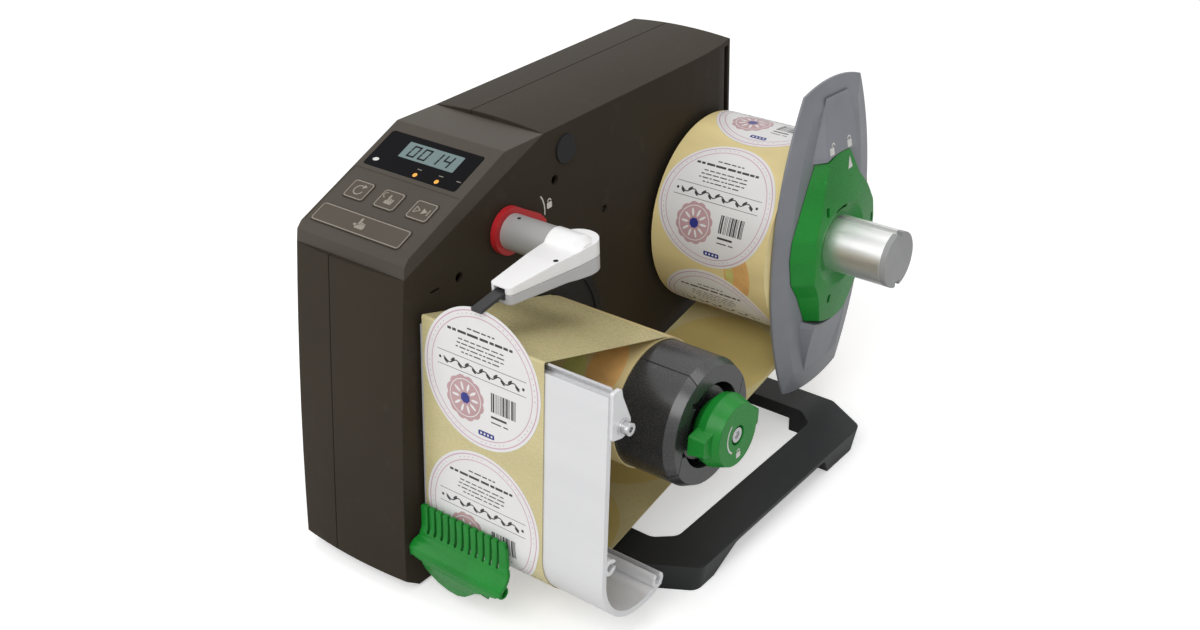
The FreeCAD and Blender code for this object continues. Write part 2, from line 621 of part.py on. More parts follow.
def flange_lock():
    y, z = SUPPLY
    reach = size("ring_reach")
    start = STOP_FACE + size("soft_gap")
    length = size("ring_length")
    block = loft("RingBlock", sketch("RingFoot", ring_outline(0), Vector(start, 0, 0), ACROSS),
                 sketch("RingTop", ring_outline(1), Vector(start + length, 0, 0), ACROSS))
    block.Ruled = True
    eye = size("ring_eye_diameter")
    wide = 2 * reach + 24
    fall = size("ring_cone") * (wide - eye) / (2 * reach - eye)
    crown = cone("RingCrown", wide, eye, fall, start + length - fall, "supply_y", "supply_z")
    body = common("RingBody", block, fuse("RingForm", crown, rod("RingBase", wide, length - fall, start,
                                                                 "supply_y", "supply_z")))
    deep = size("ring_eye_depth")
    tools = [cone("RingEye", "shaft_diameter + 3.4", "ring_eye_diameter - 2", deep, start + length - deep,
                  "supply_y", "supply_z"),
             rod("RingEyeMouth", "ring_eye_diameter - 2", 5, start + length, "supply_y", "supply_z"),
             rod("RingSeat", "stop_hub_diameter + 0.4", "stop_hub_length", start - 0.1, "supply_y", "supply_z"),
             rod("RingBore", "shaft_diameter + 2 * running_gap", 60, start - 10, "supply_y", "supply_z")]
    arc = [math.radians(degrees) for degrees in (78, 85, 92, 99, 106)]
    curve = [(y + 26.6 * math.cos(a), z + 26.6 * math.sin(a)) for a in arc]
    curve += [(y + 23.8 * math.cos(a), z + 23.8 * math.sin(a)) for a in arc[::-1]]
    tools.append(prism("RingCurvedSlot", rounded(curve), start + length - 6, 9))
    for index, (across, up) in enumerate(((-18, 28), (-10.5, -36), (42, 2)), 1):
        tools.append(box(f"RingSlot{index}", start + length - 7, y + across - 1.5, z + up - 3, 10, 3, 6))
    node("flange_lock_ring", cut("FlangeLockRing", body, *tools))


# Liner rewinder

JAW_TURN = FreeCAD.Rotation(Vector(1, 0, 0), size("jaw_angle") - 90)


def drum_form(name, start):
    """The drum's outer form: a cylinder with a bevelled free end."""
    bevel = size("drum_bevel")
    long = rod(name + "Round", "drum_diameter", size("drum_reach") - bevel - start, start, "drum_y", "drum_z")
    end = cone(name + "Bevel", "drum_diameter", "drum_face_diameter", "drum_bevel",
               size("drum_reach") - bevel, "drum_y", "drum_z")
    return fuse(name, long, end)


def jaw_bar(name, start, length, half_width, low, high):
    """A bar through the drum, square to the axis, between two distances from it."""
    item = doc.addObject("Part::Box", name)
    item.Length = length
    item.Width = 2 * half_width
    item.Height = high - low
    y, z = DRUM
    corner = Vector(start, y, z) + JAW_TURN.multVec(Vector(0, -half_width, low))
    item.Placement = FreeCAD.Placement(corner, JAW_TURN)
    return item


def face_eye(name, diameter, depth):
    """The round recess in the drum's free face."""
    return rod(name, diameter, depth + 5, size("drum_reach") - depth, "drum_y", "drum_z")


def rewinder():
    disc = rod("RewindDisc", "rewind_disc_diameter", 2.4, 1, "drum_y", "drum_z")
    groove = tube("RewindGroove", "rewind_disc_diameter - 10", "rewind_disc_diameter - 14", 2, 2.6,
                  "drum_y", "drum_z")
    node("rewind_disc", cut("RewindDiscBody", disc, groove,
                            rod("RewindDiscBore", "spindle_diameter + 20", 10, -2, "drum_y", "drum_z")))
    hub = rod("DrumHub", "spindle_diameter + 19.8", 3.4, 0.4, "drum_y", "drum_z")
    spindle = rod("DrumSpindle", "spindle_diameter - 3", 62, -61.6, "drum_y", "drum_z")
    solid = fuse("DrumSolid", drum_form("DrumForm", 3.4), hub, spindle)
    gap = size("jaw_gap")
    half = size("jaw_width") / 2
    seat = size("cam_long") / 2
    travel = size("jaw_travel")
    reach = size("drum_reach")
    slots = [jaw_bar(f"JawSlot{index}", 8, reach, half + gap, low, high)
             for index, (low, high) in enumerate(((seat, 60), (-60, -seat)), 1)]
    chamber = rod("CamChamber", "cam_long + 7", 16, "drum_reach - 40", "drum_y", "drum_z")
    bore = rod("KnobBore", "stem_diameter + 4 * running_gap", 200, "drum_reach - 62", "drum_y", "drum_z")
    depth = size("drum_eye_depth")
    open_drum = cut("DrumOpen", solid, chamber, face_eye("DrumEye", "drum_eye", depth), *slots)
    boss = rod("DrumBoss", "drum_eye - 3", 12, reach - depth - 12, "drum_y", "drum_z")
    node("rewind_drum", cut("RewindDrum", fuse("DrumWithBoss", open_drum, boss), bore))
    lift = seat + travel + 0.7
    for label, sign in (("rewind_jaw_upper", 1), ("rewind_jaw_lower", -1)):
        low, high = sorted((sign * lift, sign * 60))
        bar = jaw_bar(label + "_bar", 8.5, reach, half, low, high)
        shape = common(label + "_solid", bar, drum_form(label + "_form", 5))
        low, high = sorted((sign * (seat + 0.55), sign * (lift + 1)))
        foot = jaw_bar(label + "_foot", reach - 38, 12, 8, low, high)
        whole = fuse(label + "_solid_foot", shape, foot)
        eye = face_eye(label + "_eye", "drum_eye - 3 + 2 * jaw_travel + 1", depth + 13)
        node(label, cut(label + "_body", whole, eye))
    liner = tube("WoundLinerTube", "drum_diameter + 2 * soft_gap + 2 * liner_build",
                 "drum_diameter + 2 * soft_gap", "media_width", "media_inner_x", "drum_y", "drum_z")
    node("wound_liner", liner)


def knob():
    y, z = DRUM
    back = size("knob_back_x")
    front = size("knob_front_x")
    neck = size("knob_neck")
    half = size("knob_length") / 2
    end = size("knob_wing_height") / 2
    barrel = size("knob_diameter") / 2
    def wing(name, x, shrink):
        tall = end - shrink
        corners = []
        for side, rise in ((-1, 1), (1, 1), (1, -1), (-1, -1)):
            arm = [(side * (half - shrink), rise * tall, 1.5), (side * half * 0.68, rise * (tall + 2), 3),
                   (side * barrel * 0.55, rise * (barrel * 0.7 - shrink), 3)]
            corners += arm if side * rise < 0 else arm[::-1]
        return sketch(name, rounded(turned(corners, -size("knob_lean"), DRUM)), Vector(x, 0, 0), ACROSS)
    wings = loft("KnobWings", wing("KnobWingBack", back + neck, 0), wing("KnobWingFront", front - 4, 1.2))
    wings.Ruled = True
    waist = cone("KnobWaist", "knob_diameter * 0.68", "knob_diameter - 2", neck, back, "drum_y", "drum_z")
    flare = cone("KnobFlare", "knob_diameter - 2", "knob_diameter", 5, back + neck, "drum_y", "drum_z")
    face = cone("KnobFace", "knob_diameter", "knob_face_diameter", front - back - neck - 5, back + neck + 5,
                "drum_y", "drum_z")
    stem = rod("KnobStem", "stem_diameter", "knob_gap + 61", "drum_reach - 60", "drum_y", "drum_z")
    oval = [Part.Ellipse(Vector(0, 0, 0), size("cam_long") / 2, size("cam_short") / 2)]
    long_axis = FreeCAD.Rotation(Vector(1, 0, 0), size("jaw_angle")).multiply(ACROSS)
    flat = sketch("CamOutline", oval, Vector(size("drum_reach") - 38, y, z), long_axis)
    cam = extrude("KnobCam", flat, 12)
    recess = rod("KnobScrewRecess", "screw_head + 3", 10, front - 3, "drum_y", "drum_z")
    node("rewind_knob", cut("RewindKnob", fuse("KnobSolid", wings, waist, flare, face, stem, cam), recess))
    head = rod("KnobScrewHead", "screw_head", 2.6, front - 3, "drum_y", "drum_z")
    drive = rod("KnobScrewDrive", "screw_head / 2", 5, front - 2.2, "drum_y", "drum_z")
    node("knob_screw", cut("KnobScrew", head, drive))


# Dispensing plate

LEAN = math.radians(size("plate_lean"))


def plate_path():
    """Outer face of the extruded plate from its top edge to the lip."""
    top = (size("plate_top_y"), size("plate_top_z"))
    foot = size("plate_foot_z")
    corner_y = top[0] - (top[1] - foot) * math.tan(LEAN)
    lip = size("lip_y")
    return [top, (corner_y, foot, size("plate_bend")), (lip - 12, foot, 14), (lip, foot + size("lip_rise"))]


def dispensing_plate():
    wall = size("plate_wall")
    path = plate_path()
    skin = prism("PlateSkin", ribbon(path, 0, wall), "plate_inner_x", "plate_length")
    lip = (path[3][0] - 3.4, path[3][1] + 4.4)
    lean_y = path[0][0] - (path[0][1] - 66) * math.tan(LEAN)
    rib = (lean_y + wall + 3.2, 66)
    pieces = [skin]
    tools = []
    for index, (y, z) in enumerate((lip, rib), 1):
        wide = size("channel_diameter")
        pieces.append(prism(f"ScrewChannel{index}", circle(y, z, wide), "plate_inner_x", "plate_length"))
        tools.append(prism(f"ChannelBore{index}", circle(y, z, size("channel_bore")), "plate_inner_x - 1",
                           "plate_length + 2"))
        mouth = (y - 1.4, z, 2.8, 8) if index == 1 else (y, z - 1.4, 8, 2.8)
        left, low, right, high = mouth[0], mouth[1], mouth[0] + mouth[2], mouth[1] + mouth[3]
        edges = rounded([(left, low), (right, low), (right, high), (left, high)])
        tools.append(prism(f"ChannelMouth{index}", edges, "plate_inner_x - 1", "plate_length + 2"))
    node("dispensing_plate", cut("DispensingPlate", fuse("PlateSolid", *pieces), *tools))
    node("peel_edge", prism("PeelEdge", peel_outline(), "plate_inner_x", "plate_length"))


def peel_outline():
    """Steel strip behind the plate's top, folded forward to the peeling edge."""
    top = plate_path()[0]
    wall = size("plate_wall")
    thick = size("peel_thickness")
    up = size("peel_height")
    y, z = top
    inner = y + wall / math.cos(LEAN) + 0.02
    slope = math.tan(LEAN)
    spine = [(inner - 16 * slope, z - 16), (inner + 0.6 * slope, z + 0.6), (y + 1.6, z + up - 1.2)]
    return ribbon(spine, 0, -thick)


def end_bracket():
    """Plate that closes the free end of the dispensing plate, with its screw boss."""
    x = size("plate_inner_x") + size("plate_length")
    thick = size("bracket_thickness")
    y, z = plate_path()[0]
    hole = (y + 8.1, z - 19.9)
    outline = rounded([(y + 1.2, z + 2.6, 1), (y + 7.9, z + 2.6, 1.5), (y + 8.6, z - 2.6, 3),
                       (y + 15.4, z - 20.4, 6), (y + 8.8, z - 26.8, 5), (y - 1.1, z - 24.2, 1)])
    plate = prism("BracketPlate", outline, x, thick)
    node("end_bracket", cut("EndBracket", plate, rod("BracketHole", 4.4, 20, x - 5, *hole)))
    node("bracket_washer", tube("BracketWasherRing", 9.4, 4.4, 1, x + thick, *hole))
    head = rod("BracketScrewHead", 7, 4, x + thick + 1, *hole)
    shank = rod("BracketScrewShank", 4, 22, x - 18, *hole)
    socket = rod("BracketScrewSocket", 3, 6, x + thick + 2.6, *hole)
    node("bracket_screw", cut("BracketScrew", fuse("BracketScrewSolid", head, shank), socket))


# Liner and labels

def web_path():
    """Inner face of the liner from the roll, round the plate and over the edge to the drum."""
    gap = size("soft_gap")
    plate = offset_path(plate_path(), -gap)
    corner = plate[1]
    rise = plate_path()[0][1] + size("peel_height") + gap + 0.2
    crest_y = corner[0] + (rise - corner[1]) * math.tan(LEAN)
    crest = (crest_y, rise, 0.8)
    lip = (plate[2][0], plate[2][1], 20)
    thick = size("liner_thickness")
    roll = tangent_from(lip, SUPPLY, size("roll_diameter") / 2 + gap + thick, 1)
    wound = size("drum_diameter") / 2 + gap + size("liner_build") + gap
    drum = tangent_from(crest, DRUM, wound, -1)
    return [roll, lip, corner, crest, drum]


def liner_web():
    path = web_path()
    thick = size("liner_thickness")
    node("liner_web", prism("LinerWeb", ribbon(path, 0, thick), "media_inner_x", "media_width"))
    foot = path[2]
    middle = size("media_inner_x") + size("media_width") / 2
    outer = thick + size("label_thickness")
    up = size("label_low")
    skin = prism("LabelSkin", ribbon(path[1:4], thick, outer), "media_inner_x", "media_width")
    punch = rod("LabelPunch", "label_diameter", 60, middle, foot[0] - 20, foot[1] + up, "Y")
    stuck = common("LabelOnPlate", skin, punch)
    free = doc.addObject("Part::Cylinder", "LabelPeeling")
    bind(free, "Radius", "label_diameter / 2")
    bind(free, "Height", "label_thickness")
    up += size("label_pitch")
    lift = thick + 0.02
    spot = Vector(middle, foot[0] + up * math.sin(LEAN) - lift * math.cos(LEAN),
                  foot[1] + up * math.cos(LEAN) + lift * math.sin(LEAN))
    free.Placement = FreeCAD.Placement(spot, FreeCAD.Rotation(Vector(1, 0, 0), 90 - size("plate_lean")))
    node("web_labels", stuck, free)


# Label sensor

def sensor():
    x = size("arm_centre_x")
    y, z = size("sensor_y"), size("sensor_z")
    half_root = size("arm_root_width") / 2
    half_tip = size("arm_tip_width") / 2
    inner = x - half_root
    bar = rod("TubeBar", "tube_diameter", inner - 1, 1, "sensor_y", "sensor_z")
    spigot = rod("TubeSpigot", "tube_bore + 4", 12, inner - 0.5, "sensor_y", "sensor_z")
    neck = rod("TubeNeck", "tube_diameter - 6", 31, -30, "sensor_y", "sensor_z")
    bore = rod("TubeBore", "tube_bore", 200, -60, "sensor_y", "sensor_z")
    node("sensor_tube", cut("SensorTube", fuse("TubeSolid", bar, spigot, neck), bore))
    tip = size("arm_tip_y")
    high = z + size("arm_rise")
    low = z - size("arm_fall")
    round_end = half_root - 0.1
    plan = rounded([(x - half_tip, tip, 3), (x + half_tip, tip, 3), (x + half_root, y - 8, 5),
                    (x + half_root, y + 17, round_end), (x - half_root, y + 17, round_end),
                    (x - half_root, y - 10, 8)])
    front, back = tip - 5, y + 25
    side = rounded([(front, z - 5), (y - 18, z - 8.5, 20), (y + 2, low, 12), (back, low), (back, high),
                    (y - 26, high, 20), (front, z + 4.2)])
    halves = {"arm_upper_shell": [(front, z + 0.5), (back, z - 3.7), (back, z + 30), (front, z + 30)],
              "arm_lower_shell": [(front, z + 0.3), (front, z - 30), (back, z - 30), (back, z - 3.9)]}
    slot_width = size("finger_width") + 2 * size("soft_gap")
    pin_y = size("finger_pin_y")
    for label, half in halves.items():
        arm = common(label + "_form", slab(label + "_plan", plan, "sensor_z - 20", 40),
                     prism(label + "_height", side, x - 30, 60))
        barrel = rod(label + "_barrel", "tube_diameter + 1", "arm_root_width - 6", inner,
                     "sensor_y", "sensor_z")
        end = cone(label + "_end", "tube_diameter + 1", "tube_diameter - 7", 5, x + half_root - 6,
                   "sensor_y", "sensor_z")
        region = prism(label + "_half", rounded(half), x - 30, 60)
        slot = box(label + "_slot", x - slot_width / 2, tip - 2, z - 3.4, slot_width, pin_y - tip + 6, 7)
        seat = rod(label + "_seat", "tube_bore + 4", 20, inner - 8, "sensor_y", "sensor_z")
        whole = fuse(label + "_whole", arm, barrel, end)
        node(label, cut(label + "_body", common(label + "_shell", whole, region), slot, seat))
    ring = rod("LockRingBody", "lock_diameter", "lock_length", 0.5, "sensor_y", "sensor_z")
    lobe = prism("LockLever", rounded([(y + 3, z + 13.2), (y + 13, z + 8.6, 3), (y + 25, z + 1.4, 2),
                                       (y + 31, z - 5.4, 1.5), (y + 26, z - 7, 2), (y + 4, z - 11)]),
                 0.5, "lock_length")
    node("sensor_lock_ring", cut("SensorLockRing", fuse("LockRingSolid", ring, lobe),
                                 rod("LockRingBore", "tube_diameter + 2 * running_gap", 20, -5,
                                     "sensor_y", "sensor_z")))
    line = [(pin_y, z + 0.9), (tip, z + 0.6, 20), (3.5, z - 2.1)]
    wide = size("finger_width")
    blade = prism("FingerBlade", ribbon(line, -1, 1), x - wide / 2, "finger_width")
    boss = rod("FingerBoss", 4.6, "finger_width", x - wide / 2, "finger_pin_y", "sensor_z")
    node("sensor_finger", fuse("SensorFinger", blade, boss))


# Label brake at the plate's foot

def label_brake():
    """A sprung flap whose comb presses the liner on the plate; a tab opens it."""
    y, z = size("comb_y"), size("comb_z")
    start, length = size("comb_start"), size("comb_length")
    face = y + 2.6
    profile = rounded([(face, z + 23, 0.7), (face, z + 2, 6), (y - 1, z - 6, 4), (y + 1.5, z - 18, 4),
                       (y + 1.5, z - 29.5, 1.5), (y - 2.5, z - 29.5, 1.5), (y - 7, z - 17, 8),
                       (y - 12, z - 7, 8), (y - 9, z + 2, 8), (y - 2.4, z + 9, 8), (face - 3.4, z + 23, 0.7)])
    body = prism("CombBody", profile, start - 6, length + 12)
    teeth = int(size("comb_slots"))
    pitch = (length - 5) / teeth
    slots = [box(f"CombSlot{index + 1}", start + 2.5 + pitch * (index + 0.36), y - 12, z + 5, pitch * 0.28,
                 20, 15) for index in range(teeth)]
    end = start + length
    plan = rounded([(start, z + 23, 1), (end, z + 21, 1), (end + 1, z + 16, 2), (end + 5, z + 4, 3),
                    (end - 1, z - 10.5, 3), (end - 14, z - 11, 3), (end - 24, z - 15, 3), (end - 31, z - 24, 4),
                    (start + 24, z - 29, 5), (start + 13, z - 22, 4), (start + 3, z - 9, 4),
                    (start - 4.5, z - 12, 2), (start - 6, z - 8, 2), (start, z + 2, 3)])
    flat = sketch("CombFront", plan, Vector(0, y + 30, 0), FreeCAD.Rotation(Vector(1, 0, 0), 90))
    shaped = common("CombShaped", body, extrude("CombFrontBlock", flat, 60))
    node("label_brake", cut("LabelBrake", shaped, *slots,
                            rod("CombBore", "comb_rod_diameter + 2 * running_gap", 200, -20, y - 6, z - 6)))
    node("brake_rod", rod("BrakeRod", "comb_rod_diameter", "comb_start + comb_length + 1", -2.6, y - 6, z - 6))


# Foot

def foot_frame():
    reach = size("foot_reach")
    bar = size("foot_bar")
    front, back, arm = size("foot_front_y"), size("foot_back_y"), size("foot_arm")
    flats = []
    for index, (z, draft) in enumerate(((0, size("foot_draft")), (size("foot_height"), 0)), 1):
        side = reach - draft
        edges = rounded([(0, front), (side - 30, front, 8), (side, front + 17, 8), (side, back - 17, 8),
                         (side - 30, back, 8), (0, back)])
        flats.append(sketch(f"FootPlan{index}", edges, Vector(0, 0, z), FreeCAD.Rotation()))
    outer = loft("FootOuter", *flats)
    outer.Ruled = True
    edge = reach - bar
    inner = rounded([(-5, front + arm), (edge - 12, front + arm, 8), (edge, front + arm + 10, 8),
                     (edge, back - arm - 10, 8), (edge - 12, back - arm, 8), (-5, back - arm)])
    ceiling = size("foot_height") - size("foot_rail")
    first, last = front + size("foot_leg_front"), back - size("foot_leg_back")
    arch = rounded([(first, -1), (first + 21, ceiling, 6), (last - 10, ceiling, 6), (last, -1)])
    under = prism("FootArch", arch, reach - 60, 80)
    arms = box("FootArms", -5, 0, -5, reach - 45, 400, "5 + foot_arm_lift")
    screws = [rod(f"FootScrewHole{index}", 6, 20, -5, y, 12)
              for index, y in enumerate(("foot_front_y + 12", "foot_back_y - 12"), 1)]
    node("foot_frame", cut("FootFrame", outer, slab("FootInner", inner, -5, 60), under, arms, *screws))


def foot_details():
    front, back = size("foot_front_y"), size("foot_back_y")
    screws = []
    for index, y in enumerate((front + 12, back - 12), 1):
        screws.append(fuse(f"FootScrew{index}", rod(f"FootScrewShank{index}", 6, 21, -6, y, 12),
                           rod(f"FootScrewHead{index}", 10, 4, -10, y, 12)))
    node("foot_screws", *screws)


# Drive and electronics inside the housing

MOTOR = (size("motor_y"), size("motor_z"))


def drive():
    plate_x = -size("wall") - size("plate_thickness")
    high = TOP - 37
    rear = BACK - 15.5
    outline = rounded([(30, 8, 6), (rear, 8, 6), (rear, high - 25, 6), (130, high, 10), (70, high, 10),
                       (30, high - 45, 10)])
    plate = prism("ChassisSheet", outline, plate_x, "plate_thickness")
    rings = []
    bores = [rod("ChassisFootFront", 6, 20, -10, "foot_front_y + 12", 12),
             rod("ChassisFootBack", 6, 20, -10, "foot_back_y - 12", 12),
             rod("ChassisSensor", "tube_diameter - 5.8", 20, -15, "sensor_y", "sensor_z"),
             rod("ChassisMotor", 14, 20, -15, "motor_y", "motor_z")]
    bearings = []
    journal = "spindle_diameter - 3"
    for name, y, z in (("Supply", "supply_y", "supply_z"), ("Drum", "drum_y", "drum_z")):
        rings.append(rod(f"{name}Cup", "bearing_diameter + 12", "bearing_length", plate_x - 6, y, z))
        bores.append(rod(f"{name}CupBore", "bearing_diameter", 40, -30, y, z))
        bearings.append(tube(f"{name}Bearing", "bearing_diameter", f"{journal} + 2 * running_gap",
                             "bearing_length", plate_x - 6, y, z))
    node("chassis_plate", cut("ChassisPlate", fuse("ChassisSolid", plate, *rings), *bores))
    node("shaft_bearings", *bearings)
    motor_end = plate_x - size("motor_length")
    case = rod("MotorCase", "motor_diameter", "motor_length", motor_end, "motor_y", "motor_z")
    boss = rod("MotorBoss", 16, 3, motor_end - 3, "motor_y", "motor_z")
    nose = rod("MotorNose", 13.8, 2.5, plate_x, "motor_y", "motor_z")
    shaft = rod("MotorShaft", 5.9, 16, motor_end - 16, "motor_y", "motor_z")
    node("drive_motor", fuse("DriveMotor", case, boss, nose, shaft))
    pulley_x = motor_end - 5 - size("belt_width")
    small = pulley("MotorPulley", pulley_x, "motor_pulley_diameter", "motor_y", "motor_z",
                   "5.9 + 2 * running_gap")
    node("motor_pulley", small)
    large = pulley("DrumPulley", pulley_x, "motor_pulley_diameter * belt_ratio", "drum_y", "drum_z",
                   "spindle_diameter - 3")
    node("drum_pulley", large)
    gap = size("soft_gap")
    small_r = size("motor_pulley_diameter") / 2 + gap
    large_r = size("motor_pulley_diameter") * size("belt_ratio") / 2 + gap
    thick = size("belt_thickness")
    belt = cut("DriveBelt", prism("BeltOuter", belt_loop(small_r + thick, large_r + thick), pulley_x + 0.5,
                                  "belt_width - 1"),
               prism("BeltInner", belt_loop(small_r, large_r), pulley_x, "belt_width"))
    node("drive_belt", belt)


def pulley(name, x, diameter, y, z, bore):
    body = rod(name + "Body", diameter, "belt_width", x, y, z)
    rims = [rod(f"{name}Rim{index}", f"{diameter} + 5", 1, at, y, z)
            for index, at in enumerate((x - 1, x + size("belt_width")), 1)]
    return cut(name, fuse(name + "Solid", body, *rims), rod(name + "Bore", bore, 40, x - 10, y, z))


def belt_loop(small, large):
    """An open belt's outline round two pulleys, from the tangents that they share."""
    start = Vector(*MOTOR, 0)
    end = Vector(*DRUM, 0)
    line = end - start
    base = math.atan2(line.y, line.x)
    swing = math.acos((small - large) / line.Length)
    def spot(centre, radius, angle):
        return centre + Vector(radius * math.cos(angle), radius * math.sin(angle), 0)
    first, second = base + swing, base - swing
    a, b = spot(start, small, first), spot(end, large, first)
    c, d = spot(end, large, second), spot(start, small, second)
    return [Part.LineSegment(a, b), Part.Arc(b, spot(end, large, base), c), Part.LineSegment(c, d),
            Part.Arc(d, spot(start, small, base + math.pi), a)]


def reel_brake():
    """Friction brake that keeps the web taut: a disc on the shaft against a felt ring."""
    start = -size("wall") - size("plate_thickness") - 6
    node("brake_felt", tube("BrakeFelt", "bearing_diameter + 10", "bearing_diameter - 8", 2.7, start - 2.7,
                            "supply_y", "supply_z"))
    disc = rod("BrakeDiscPlate", "bearing_diameter + 12", 2.5, start - 5.5, "supply_y", "supply_z")
    collar = rod("BrakeCollar", 26, 8, start - 13.5, "supply_y", "supply_z")
    node("brake_disc", cut("BrakeDisc", fuse("BrakeSolid", disc, collar),
                           rod("BrakeBore", "spindle_diameter - 3", 60, start - 40, "supply_y", "supply_z")))


def electronics():
    y, length, width = size("power_board_y"), size("power_board_length"), size("power_board_width")
    thick = size("board_thickness")
    edge = -70
    legs = []
    for index, (across, along) in enumerate(((0.12, 0.055), (0.88, 0.055), (0.12, 0.945), (0.88, 0.945)), 1):
        legs.append(rod(f"SupplyLeg{index}", 6, 6, edge + width * across, y + length * along, 5, "Z"))
    base = box("SupplyBoard", edge, y, 11, width, length, thick)
    deck = 11 + thick
    coil = box("SupplyCoil", edge + width * 0.28, y + length * 0.24, deck, width * 0.56, length * 0.27,
               width * 0.52)
    caps = [rod(f"SupplyCap{index}", width * 0.32, width * 0.48, edge + width * across, y + length * 0.69,
                deck, "Z") for index, across in enumerate((0.2, 0.57), 1)]
    sink = box("SupplySink", edge + width * 0.8, y + length * 0.11, deck, 4, length * 0.73, width * 0.44)
    node("power_supply", fuse("PowerSupply", base, coil, *caps, sink, *legs))
    y, z, length = size("control_board_y"), size("control_board_z"), size("control_board_length")
    tall = TOP - 116
    posts = [rod(f"BoardPost{index}", 6, 7, -81, y + length * along, z + tall * up)
             for index, (along, up) in enumerate(((0.07, 0.065), (0.93, 0.065), (0.07, 0.935), (0.93, 0.935)), 1)]
    board = box("ControlSheet", -74, y, z, thick, length, tall)
    chips = []
    for index, (along, up, wide, high) in enumerate(((0.41, 0.46, 0.21, 0.19), (0.16, 0.22, 0.12, 0.16),
                                                     (0.69, 0.22, 0.1, 0.24), (0.69, 0.62, 0.12, 0.11)), 1):
        chips.append(box(f"ControlChip{index}", -74 + thick, y + length * along, z + tall * up, 3,
                         length * wide, tall * high))
    plugs = [box(f"ControlPlug{index}", -74 + thick, y + length * along, z + tall * 0.92, 8, length * 0.14, 6)
             for index, along in enumerate((0.16, 0.37, 0.59), 1)]
    node("control_board", fuse("ControlBoard", board, *posts, *chips, *plugs))


def rear_panel():
    flange = box("InletFlange", -49, "back_y", 27.5, 31.6, "inlet_proud", 25)
    body = box("InletBody", -46.8, "back_y - 18", 30.2, 27.2, 18, 19.6)
    well = box("InletWell", -45.2, "back_y - 14", 31.8, 24, 30, 16.4)
    pins = [box(f"InletPin{index}", x, "back_y - 15", z, 2, 13, 4)
            for index, (x, z) in enumerate(((-41.2, 36.8), (-34.2, 40.8), (-27.2, 36.8)), 1)]
    node("mains_inlet", fuse("MainsInlet", cut("InletShell", fuse("InletSolid", flange, body), well), *pins))
    frame = box("SwitchFrame", -48.4, "back_y", 56.4, 15.8, 1.6, 22.6)
    case = box("SwitchCase", -46.8, "back_y - 16", 58.2, 12.6, 16, 19)
    hollow = box("SwitchHollow", -45.8, "back_y - 7", 59.2, 10.6, 20, 17)
    node("power_switch", cut("PowerSwitch", fuse("SwitchSolid", frame, case), hollow))
    middle = 58.2 + 19 / 2
    rocker = rounded([(BACK - 4, middle - 7.9, 1), (BACK + 1.9, middle - 7.9, 1), (BACK + 0.9, middle, 6),
                      (BACK + 2.9, middle + 7.7, 1), (BACK - 3.2, middle + 7.9, 1), (BACK - 5, middle, 4)])
    pin = rod("RockerPin", 6, 10, -45.5, "back_y - 2", middle)
    node("power_rocker", fuse("PowerRocker", prism("RockerBlade", rocker, -45.5, 10), pin))
    plate = box("SignalPlate", -48, "back_y", 90.5, 21, 1.2, 13.4)
    shell = box("SignalBody", -46.5, "back_y - 10", 92.4, 18, 12.6, 9.6)
    node("signal_socket", fuse("SignalSocket", plate, shell))


for step in (main_housing, side_cover, housing_details, control_panel, panel_keys, supply_reel, margin_stop,
             flange_lock, rewinder, knob, dispensing_plate, end_bracket, liner_web, sensor, label_brake,
             foot_frame, foot_details, drive, reel_brake, electronics, rear_panel):
    step()

doc.recompute()
for item in doc.Objects:
    broken = [state for state in item.State if state in ("Invalid", "Error")]
    if broken:
        raise RuntimeError(f"{item.Label} is {broken}")
for item in NODES:
    if item.Shape.isNull() or not item.Shape.isValid() or not item.Shape.Solids:
        raise RuntimeError(f"{item.Label} has no valid solid")

os.makedirs("parts", exist_ok=True)
for item in NODES:
    item.Shape.exportStep(f"parts/{item.Label}.step")
    print(item.Label, len(item.Shape.Solids), round(item.Shape.Volume))
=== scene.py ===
import math
import random

import bmesh
import bpy
from mathutils import Matrix, Vector


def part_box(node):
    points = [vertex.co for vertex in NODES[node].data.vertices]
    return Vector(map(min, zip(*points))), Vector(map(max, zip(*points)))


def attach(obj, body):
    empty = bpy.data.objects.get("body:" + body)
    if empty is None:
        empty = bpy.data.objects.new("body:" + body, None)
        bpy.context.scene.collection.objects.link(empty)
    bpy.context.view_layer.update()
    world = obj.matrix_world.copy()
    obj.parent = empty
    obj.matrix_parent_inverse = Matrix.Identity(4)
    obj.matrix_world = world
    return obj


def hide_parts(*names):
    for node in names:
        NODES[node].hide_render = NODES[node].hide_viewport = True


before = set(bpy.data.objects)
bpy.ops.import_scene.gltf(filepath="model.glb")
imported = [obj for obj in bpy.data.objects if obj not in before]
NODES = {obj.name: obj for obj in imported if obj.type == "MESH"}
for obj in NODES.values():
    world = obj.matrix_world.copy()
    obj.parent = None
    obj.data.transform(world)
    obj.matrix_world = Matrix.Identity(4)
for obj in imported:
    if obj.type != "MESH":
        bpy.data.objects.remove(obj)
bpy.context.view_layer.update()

# The machine's frame, in millimetres: X = 0 is the housing's working face, Y runs from the peeling
# plate to the back, and Z = 0 is the table.
ORIGIN_X, ORIGIN_Y = 32.0, 159.15


def at(x, y, z):
    """A point of the machine's frame, in the scene's metres."""
    return Vector(((x - ORIGIN_X) / 1000, (y - ORIGIN_Y) / 1000, z / 1000))


# Camera, fitted to the photograph's edges and circles

CAMERA_SPOT = (512.1, -470.4, 556.9)
CAMERA_ANGLES = (38.9, 29.1, -1.7)
LENS, SENSOR_WIDTH = 43.99, 36


